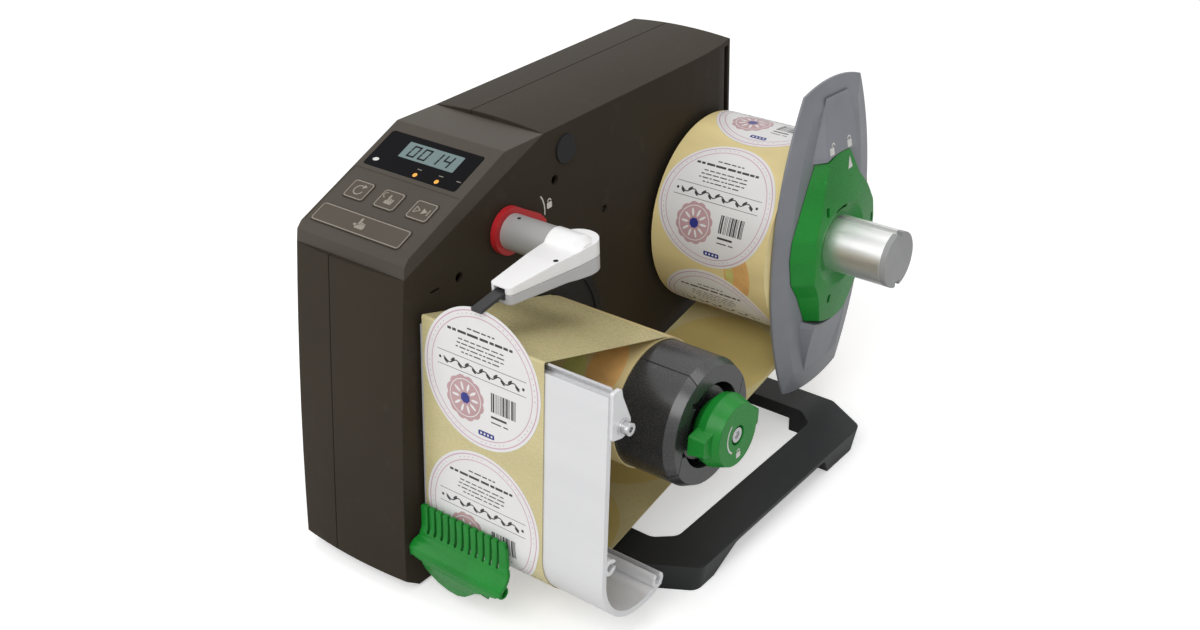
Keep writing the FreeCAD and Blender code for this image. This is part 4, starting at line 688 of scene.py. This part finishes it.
label_art("lower", on_web(MID_X, LOWER_LABEL_S), "root", ON_LINER)
label_art("upper", on_slope(MID_X, UPPER_LABEL_Z), "root", ON_LINER, step=None)
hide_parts("web_labels")
for tag, pitches in (("roll_front", 0), ("roll_top", -1), ("roll_low", 1), ("roll_back", -2)):
    label_art(tag, on_roll(MID_X, FRONT_ANGLE + LABEL_PITCH_ANGLE * pitches), "supply_reel", ON_ROLL)


# The comb brake: a slotted plate with a barrel on its rod and a tab below

# The face in (y, z), from its top edge down
COMB_FACE = [(-8.4, 59.6), (-8.7, 52), (-9.3, 45), (-11.6, 40), (-15.2, 36.6), (-17.6, 33.4), (-18.3, 30),
             (-17.8, 25.5), (-16.2, 19), (-14.8, 10)]
COMB_START, COMB_END = 4.0, 68.0
COMB_MARGIN, COMB_SLOTS, SLOT_DEPTH, SLOT_HALF, SLOT_CROWN = 3, 11, 18.0, 0.62, 0.7
SLOT_FLARE, SLOT_FOOT_SHARE, SLOT_FOOT_RISE = 0.6, 1.5, 0.8
COMB_THICK, COMB_SOFT_EDGE, SOFT_ANGLE = 2.3, 0.35, 50
COMB_ROD, BARREL_START, BARREL_END = (-14.4, 31), 3.0, 70.6
BARREL_RADIUS, BARREL_BORE, BARREL_CHAMFER = 3.7, 2.7, 0.5
ROUND_COUNT, SHARP_ANGLE = 48, 38


def face_lengths():
    """How far down the comb's face each of its points lies."""
    run = [0.0]
    for (a, b), (c, d) in zip(COMB_FACE, COMB_FACE[1:]):
        run.append(run[-1] + math.hypot(c - a, d - b))
    return run


COMB_RUN = face_lengths()


def on_comb(u, v, lift):
    """The comb's face: v is zero at its top edge and falls on the way down."""
    down = min(max(-v, 0), COMB_RUN[-1])
    index = max(i for i in range(len(COMB_RUN) - 1) if COMB_RUN[i] <= down)
    share = (down - COMB_RUN[index]) / (COMB_RUN[index + 1] - COMB_RUN[index])
    first, second = Vector(COMB_FACE[index]), Vector(COMB_FACE[index + 1])
    spot = first.lerp(second, share)
    leg = (second - first).normalized()
    return at(u, spot.x + leg.y * lift, spot.y - leg.x * lift)


def comb_slot(middle):
    """A slot from the top edge down, a little wider at its foot."""
    foot, shoulder = -SLOT_DEPTH, SLOT_FOOT_RISE - SLOT_DEPTH
    foot_half, mouth_half = SLOT_HALF * SLOT_FOOT_SHARE, SLOT_HALF + SLOT_FLARE
    return [(middle - mouth_half, 0), (middle - SLOT_HALF, -SLOT_CROWN), (middle - foot_half, shoulder),
            (middle, foot), (middle + foot_half, shoulder), (middle + SLOT_HALF, -SLOT_CROWN),
            (middle + mouth_half, 0)]


def comb_outline():
    """The top edge with its slots, then the lobed lower edge back to the start."""
    start, end = COMB_START, COMB_END
    pitch = (end - start - 2 * COMB_MARGIN) / COMB_SLOTS
    spots = [(start, -1.2), (start + 0.8, -0.2)]
    for index in range(COMB_SLOTS):
        spots += comb_slot(start + COMB_MARGIN + pitch * (index + 0.5))
    far_side = [(end - 1.5, -0.2), (end, -2), (end + 0.6, -9), (end + 1.2, -15), (end + 3.2, -20),
                (end + 3.6, -25), (end + 2.2, -32), (end - 1, -34.4)]
    lobe = [(61, -36.0), (55, -37.6), (50, -40.2), (45, -44.6), (40, -48.6), (34, -50.8), (27, -50.4),
            (20, -47.8), (14.6, -43.8), (11.8, -39.4), (11.0, -35.0)]
    near_side = [(6, -34.2), (1.6, -32), (0.6, -28), (1.4, -24), (start - 0.4, -20), (start, -14)]
    return spots + far_side + lobe + near_side


def smooth(piece):
    """Shades a piece smooth, apart from its sharp edges."""
    for face in piece.data.polygons:
        face.use_smooth = True
    piece.data.set_sharp_from_angle(angle=math.radians(SHARP_ANGLE))


def solid(piece, thick, edge):
    """Gives a laid sheet its thickness and soft edges."""
    shell = piece.modifiers.new("thickness", "SOLIDIFY")
    shell.thickness = thick / 1000
    shell.offset = -1
    soft = piece.modifiers.new("soft_edges", "BEVEL")
    soft.width = edge / 1000
    soft.segments = 2
    soft.angle_limit = math.radians(SOFT_ANGLE)
    made = bpy.data.meshes.new_from_object(piece.evaluated_get(bpy.context.evaluated_depsgraph_get()))
    piece.modifiers.clear()
    piece.data = made
    smooth(piece)


def sleeve(name, centre, start, end, outer, inner, chamfer, material, body):
    """A round sleeve about a line along X, with chamfered ends."""
    shell = bmesh.new()
    profile = ((start, inner), (start, outer - chamfer), (start + chamfer, outer), (end - chamfer, outer),
               (end, outer - chamfer), (end, inner))
    rings = []
    for x, radius in profile:
        spots = disc(*centre, radius, count=ROUND_COUNT)
        rings.append([shell.verts.new(at(x, y, z)) for y, z in spots])
    for low, high in zip(rings, rings[1:] + rings[:1]):
        for index in range(ROUND_COUNT):
            following = (index + 1) % ROUND_COUNT
            shell.faces.new((low[index], low[following], high[following], high[index]))
    bmesh.ops.recalc_face_normals(shell, faces=shell.faces)
    mesh = bpy.data.meshes.new(name)
    shell.to_mesh(mesh)
    shell.free()
    smooth(add_mesh(name, mesh, material, body))


def comb_brake():
    comb = lay("comb_plate", [comb_outline()], on_comb, 0, GREEN, "brake_flap", 1.0)
    solid(comb, COMB_THICK, COMB_SOFT_EDGE)
    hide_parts("label_brake")
    sleeve("comb_barrel", COMB_ROD, BARREL_START, BARREL_END, BARREL_RADIUS, BARREL_BORE, BARREL_CHAMFER,
           GREEN, "brake_flap")


comb_brake()


# Prints of the layers below, seen through the liner

GHOST_LAYERS, GHOST_LAG_ANGLE = 5, 38
ON_WOUND, UNDER_WEB = 0.04, -0.05
FEED_PITCH, FEED_COUNT, FEED_START = 86.5, 3, 41

# Material, place across the web and the two radii
REEL_GHOSTS = {"ghost_warm": (GHOST_WARM, 23, 9.5, 18), "ghost_green": (GHOST_GREEN, 17, 3, 8)}
# Material, place along X, angle on the drum and the two radii
DRUM_GHOSTS = {"green": (GHOST_GREEN, 56, 139, 7.5, 9), "warm": (GHOST_WARM, 75, 129, 11, 19),
               "far_green": (GHOST_GREEN, 42, 20, 9, 11), "far_warm": (GHOST_WARM, 66, 8, 12, 17),
               "low_warm": (GHOST_WARM, 60, -115, 12, 17)}


def reel_ghosts():
    rand = random.Random(3)
    places = {tag: [] for tag in REEL_GHOSTS}
    for _ in range(GHOST_LAYERS):
        for tag, row in REEL_GHOSTS.items():
            places[tag].append(row[1] + rand.uniform(-1, 1))
    for tag, (material, _, wide, tall) in REEL_GHOSTS.items():
        for layer, u in enumerate(places[tag]):
            angle = FRONT_ANGLE + GHOST_LAG_ANGLE + LABEL_PITCH_ANGLE * layer
            lay(f"reel_{tag}_{layer}", [disc(u, 0, wide, tall)], on_roll(MID_X, angle), PRINT_LIFT, material,
                "supply_reel", BEND_STEP)


def drum_ghosts():
    for tag, (material, x, angle, wide, tall) in DRUM_GHOSTS.items():
        lay(f"drum_ghost_{tag}", [disc(0, 0, wide, tall)], on_drum(x, angle), ON_WOUND, material, "rewinder",
            BEND_STEP)


def feed_ghosts():
    """Labels that show through the liner below the roll."""
    for index in range(FEED_COUNT):
        centre = LOWER_LABEL_S - FEED_PITCH * (index + 1)
        if centre > FEED_START:
            lay(f"feed_ghost_{index}", [disc(0, 0, LABEL_RADIUS)], on_web(MID_X, centre), UNDER_WEB, GHOST,
                "root", BEND_STEP)


reel_ghosts()
drum_ghosts()
feed_ghosts()


# Prints on the panel, the housing, the margin stop, its ring and the knob, and painted shade for the pin hole
# and the port on the arm

# Each print lies a hair above its surface
WALL_LIFT, PANEL_LIFT, FIGURE_LIFT, KEY_LIFT, STOP_LIFT, RING_LIFT = 0.06, 0.05, 0.09, 0.19, 0.08, 0.1
TUBE_AXIS, TUBE_RADIUS = (82, 196), 10.7
PIN_X, PIN_ANGLE, PIN_RADIUS = 11.5, 97, 1.1
ARM_TOP, ARM_PORT, ARM_PORT_RADIUS, ARM_PORT_LIFT = 202, (55.8, 58.9), 1.5, 0.04
PANEL_FOOT, PANEL_HEAD = (4.9, 209.1), (85, 242.6)
TILT = math.atan2(PANEL_HEAD[1] - PANEL_FOOT[1], PANEL_HEAD[0] - PANEL_FOOT[0])
LCD_WINDOW, LCD_CORNER = (-62, 62, 42.3, 12.5), 0.6
FIGURES, FIGURE_START, FIGURE_PITCH = ("abcdef", "abcdef", "bc", "bcfg"), -57.5, 8.6
FIGURE_ROW, FIGURE_WIDE, FIGURE_TALL = 63.7, 6.0, 9.0
LAMP_ROW, AMBER_LAMPS, AMBER_RADIUS = 53.0, (-40.7, -24.2), 1.5
WHITE_LAMP, WHITE_RADII, WHITE_TURN = (-73.8, 55.5), (2.2, 1.35), 0.2
MARK_ROW, MARK_STARTS, MARK_WIDE, MARK_TALL = 57.2, (-42.3, -25.8, -12.6), 3.2, 0.5
KEY_WIDE, KEY_TALL, KEY_ROW = 16, 14, 24.5
FRAME_INSET, FRAME_WIDE, FRAME_CORNER, FRAME_INNER_CORNER = 0.5, 0.55, 2.0, 1.5
KNOB_FACE_X = 147
STOP_LEAN = math.radians(3.4)
RIB_LOW, RIB_HIGH = (102.7, 61.4), (95.2, 97)
RING_FACE_X, RING_DROP, RING_INNER, RING_WIDE = 107.5, 4.9, 28, 33


def on_tube(u, v, lift):
    """The sensor arm's tube, at the pin's place."""
    turn = math.radians(PIN_ANGLE) + v / TUBE_RADIUS
    reach = TUBE_RADIUS + lift
    return at(u, TUBE_AXIS[0] + reach * math.cos(turn), TUBE_AXIS[1] + reach * math.sin(turn))


def on_arm(u, v, lift):
    """The flat top of the arm's upper shell."""
    return at(u, v, ARM_TOP + lift)


def on_panel(u, v, lift):
    """The sloped operator panel: v runs up from its front edge."""
    return at(u, PANEL_FOOT[0] + v * math.cos(TILT) - lift * math.sin(TILT),
              PANEL_FOOT[1] + v * math.sin(TILT) + lift * math.cos(TILT))


def on_face(x, centre=(0, 0)):
    """A plane square to the shafts: u runs to the back and v up."""
    def where(u, v, lift):
        return at(x + lift, centre[0] + u, centre[1] + v)
    return where


def on_rib(u, v, lift):
    """The ramp above the lock ring, leaning with the margin stop."""
    x = RIB_HIGH[0] + (RIB_LOW[0] - RIB_HIGH[0]) * (RIB_HIGH[1] - v) / (RIB_HIGH[1] - RIB_LOW[1])
    return at(x + lift, SUPPLY[0] + u * math.cos(STOP_LEAN) + v * math.sin(STOP_LEAN),
              SUPPLY[1] - u * math.sin(STOP_LEAN) + v * math.cos(STOP_LEAN))


def on_ring(u, v, lift):
    """The lock ring's coned face."""
    x = RING_FACE_X - RING_DROP * (math.hypot(u, v) - RING_INNER) / RING_WIDE
    return at(x + lift, SUPPLY[0] + u, SUPPLY[1] + v)


def padlock(u, v, tall, is_open=False):
    """A small lock sign about a centre."""
    wide = tall * 0.62
    body = rounded_bar(u - wide / 2, v - tall / 2, wide, tall * 0.55, tall * 0.1)
    shift = wide * 0.42 if is_open else 0
    return [body] + arc_line(u + shift, v + tall * 0.12, wide * 0.32, 0, 180, tall * 0.12, 12)


def digit(u, v, wide, tall, lit):
    """One slanted seven-segment figure; lit names its segments from the top clockwise, then the middle."""
    thick, gap, slant = tall * 0.13, 0.14, 0.1
    middle, right = v + tall / 2, u + wide - thick
    across, upright = wide - 2 * gap, tall / 2 - 2 * gap
    runs = {
        "a": (u + gap, v + tall - thick, across, thick),
        "b": (right, middle + gap, thick, upright),
        "c": (right, v + gap, thick, upright),
        "d": (u + gap, v, across, thick),
        "e": (u, v + gap, thick, upright),
        "f": (u, middle + gap, thick, upright),
        "g": (u + gap, middle - thick / 2, across, thick),
    }
    return [[(a + (b - v) * slant, b) for a, b in bar(*runs[key])] for key in lit]


def turn_back_sign():
    """A circle of a line that ends in an arrow."""
    return arc_line(-66, 31.5, 3.3, 60, 350, 0.8) + [[(-64.4, 36.2), (-64.9, 32.7), (-61.9, 34.6)]]


def small_hand_sign():
    """A pointing hand beside a small curve."""
    hand = [rounded_bar(-44.4, 28.4, 5.6, 2.6, 0.8), rounded_bar(-43.4, 30.4, 1.3, 4.8, 0.6),
            rounded_bar(-41.6, 30.4, 1.3, 2.4, 0.6), rounded_bar(-39.8, 30.4, 1.2, 2.0, 0.5)]
    return hand + arc_line(-46.3, 34.2, 1.9, 90, 270, 0.6, 8)


def forward_sign():
    """An open arrow, a full one and a bar."""
    open_arrow = stroke([(-22, 29.3), (-22, 33.7), (-18.2, 31.5), (-22, 29.3)], 0.6)
    return open_arrow + [[(-16.6, 29.3), (-12.8, 31.5), (-16.6, 33.7)], bar(-12.4, 29.3, 0.7, 4.4)]


def hand_sign():
    return [rounded_bar(-48.6, 7.0, 7.0, 3.4, 1.2), rounded_bar(-47.6, 9.6, 1.6, 5.0, 0.7),
            rounded_bar(-45.6, 9.6, 1.5, 2.2, 0.6), rounded_bar(-43.7, 9.6, 1.4, 1.8, 0.6),
            rounded_bar(-50.4, 8.6, 3.2, 1.5, 0.7)]


def tube_hole_painted_shade():
    # Painted shade: a near-black disc stands in for the shaded inside of the tube's pin hole.
    hole = disc(PIN_X, 0, PIN_RADIUS, count=24)
    lay("tube_pin_hole_painted_shade", [hole], on_tube, WALL_LIFT, INK, "sensor_arm")


def display_prints():
    lay("lcd_face", [rounded_bar(*LCD_WINDOW, LCD_CORNER)], on_panel, PANEL_LIFT, LCD, "root")
    figures = []
    for index, lit in enumerate(FIGURES):
        figures += digit(FIGURE_START + FIGURE_PITCH * index, FIGURE_ROW, FIGURE_WIDE, FIGURE_TALL, lit)
    lay("lcd_figures", figures, on_panel, FIGURE_LIFT, INK, "root")
    amber = [disc(u, LAMP_ROW, AMBER_RADIUS, count=24) for u in AMBER_LAMPS]
    lay("lamp_amber_faces", amber, on_panel, PANEL_LIFT, LAMP, "root")
    white = disc(*WHITE_LAMP, *WHITE_RADII, 28, WHITE_TURN)
    lay("lamp_white_face", [white], on_panel, PANEL_LIFT, SILK, "root")
    marks = [bar(u, MARK_ROW, MARK_WIDE, MARK_TALL) for u in MARK_STARTS]
    lay("window_marks", marks, on_panel, PANEL_LIFT, GREY_INK, "root")


def key_prints():
    keys = {
        "clear_key": (-74, KEY_ROW, KEY_WIDE, turn_back_sign()),
        "step_key": (-50, KEY_ROW, KEY_WIDE, small_hand_sign()),
        "feed_key": (-25, KEY_ROW, KEY_WIDE, forward_sign()),
        "start_key": (-80, 3, 69, hand_sign()),
    }
    for name, (u, v, wide, sign) in keys.items():
        inset, inner = FRAME_INSET, FRAME_INSET + FRAME_WIDE
        frame_lines = hoop(
            rounded_bar(u + inset, v + inset, wide - 2 * inset, KEY_TALL - 2 * inset, FRAME_CORNER),
            rounded_bar(u + inner, v + inner, wide - 2 * inner, KEY_TALL - 2 * inner, FRAME_INNER_CORNER))
        lay(name + "_frame", frame_lines, on_panel, KEY_LIFT, GREY_INK, name)
        lay(name + "_sign", sign, on_panel, KEY_LIFT, GREY_INK, name)


def wall_prints_and_port_shade():
    curve = [(112.6, 205.0), (114.4, 202.2), (115.5, 198.8), (115.9, 195.4), (115.7, 192.2)]
    lay("lock_mark_line", stroke(curve, 0.9), on_face(0), WALL_LIFT, SILK, "root")
    lay("lock_mark_sign", padlock(120.2, 198.4, 7.2), on_face(0), WALL_LIFT, SILK, "root")
    # Painted shade: a near-black disc stands in for the shaded inside of the port on the arm's top.
    port = disc(*ARM_PORT, ARM_PORT_RADIUS, count=24)
    lay("arm_port_painted_shade", [port], on_arm, ARM_PORT_LIFT, INK, "sensor_arm")


def stop_prints():
    open_lock, closed_lock = padlock(-13.0, 66.0, 8.5, True), padlock(8.4, 66.0, 8.5)
    lay("stop_lock_open_sign", open_lock, on_rib, STOP_LIFT, SILK, "margin_stop")
    lay("stop_lock_sign", closed_lock, on_rib, STOP_LIFT, SILK, "margin_stop")
    pointer = [(11.2, 55.8), (8.3, 47.6), (14.0, 47.6)]
    lay("ring_pointer", [pointer], on_ring, RING_LIFT, SILK, "flange_lock")


def knob_prints():
    face = on_face(KNOB_FACE_X, DRUM)
    lay("knob_turn_line", arc_line(1, 0, 11.2, 128, 232, 1.1), face, WALL_LIFT, SILK, "knob")
    lay("knob_lock_sign", padlock(0.6, -11.6, 6.6), face, WALL_LIFT, SILK, "knob")


tube_hole_painted_shade()
display_prints()
key_prints()
wall_prints_and_port_shade()
stop_prints()
knob_prints()


# Floor, backdrop and light

FLOOR_COLOUR, FLOOR_GLOW, SOFT_LIGHT = (0.86, 0.86, 0.86, 1), 0.42, 0.45
LIGHT_TARGET = (0, 0, 0.1)
# Place in metres, power in watts and width
LIGHTS = {"key": ((0.5, -1.3, 1.5), 15, 1.2), "fill": ((-1.1, -1.3, 0.9), 6, 1.4),
          "top": ((0.1, 0.3, 1.9), 8, 1.2)}


def add_floor():
    """A pale floor, a little brighter to the camera than it lights the object."""
    bpy.ops.mesh.primitive_plane_add(size=30, location=(0, 0, 0))
    floor = bpy.context.object
    floor.name = "floor"
    material, tree, shader = nodes_for("pale_floor")
    shader.inputs["Base Color"].default_value = FLOOR_COLOUR
    shader.inputs["Roughness"].default_value = 0.9
    shader.inputs["Specular IOR Level"].default_value = 0.1
    path = tree.nodes.new("ShaderNodeLightPath")
    glow = tree.nodes.new("ShaderNodeEmission")
    glow.inputs["Strength"].default_value = FLOOR_GLOW
    add = tree.nodes.new("ShaderNodeAddShader")
    mix = tree.nodes.new("ShaderNodeMixShader")
    tree.links.new(path.outputs["Is Camera Ray"], mix.inputs[0])
    tree.links.new(shader.outputs[0], add.inputs[0])
    tree.links.new(glow.outputs[0], add.inputs[1])
    tree.links.new(shader.outputs[0], mix.inputs[1])
    tree.links.new(add.outputs[0], mix.inputs[2])
    tree.links.new(mix.outputs[0], tree.nodes["Material Output"].inputs["Surface"])
    floor.data.materials.append(material)


def add_world():
    """White to the camera, in reflections and through glass, and soft light elsewhere."""
    world = bpy.data.worlds.new("studio")
    bpy.context.scene.world = world
    world.use_nodes = True
    tree = world.node_tree
    soft = tree.nodes["Background"]
    soft.inputs["Color"].default_value = (1, 1, 1, 1)
    soft.inputs["Strength"].default_value = SOFT_LIGHT
    white = tree.nodes.new("ShaderNodeBackground")
    white.inputs["Color"].default_value = (1, 1, 1, 1)
    white.inputs["Strength"].default_value = 1.0
    path = tree.nodes.new("ShaderNodeLightPath")
    seen = tree.nodes.new("ShaderNodeMath")
    seen.operation = "MAXIMUM"
    clear = tree.nodes.new("ShaderNodeMath")
    clear.operation = "MAXIMUM"
    mix = tree.nodes.new("ShaderNodeMixShader")
    tree.links.new(path.outputs["Is Camera Ray"], seen.inputs[0])
    tree.links.new(path.outputs["Is Glossy Ray"], seen.inputs[1])
    tree.links.new(seen.outputs[0], clear.inputs[0])
    tree.links.new(path.outputs["Is Transmission Ray"], clear.inputs[1])
    tree.links.new(clear.outputs[0], mix.inputs[0])
    tree.links.new(soft.outputs[0], mix.inputs[1])
    tree.links.new(white.outputs[0], mix.inputs[2])
    tree.links.new(mix.outputs[0], tree.nodes["World Output"].inputs["Surface"])


def add_lights():
    for name, (spot, power, wide) in LIGHTS.items():
        light = bpy.data.objects.new(name, bpy.data.lights.new(name, "AREA"))
        light.data.energy = power
        light.data.size = wide
        light.location = spot
        light.rotation_euler = (Vector(LIGHT_TARGET) - Vector(spot)).to_track_quat("-Z", "Y").to_euler()
        bpy.context.scene.collection.objects.link(light)


add_floor()
add_world()
add_lights()
bpy.context.scene.view_settings.view_transform = "Standard"
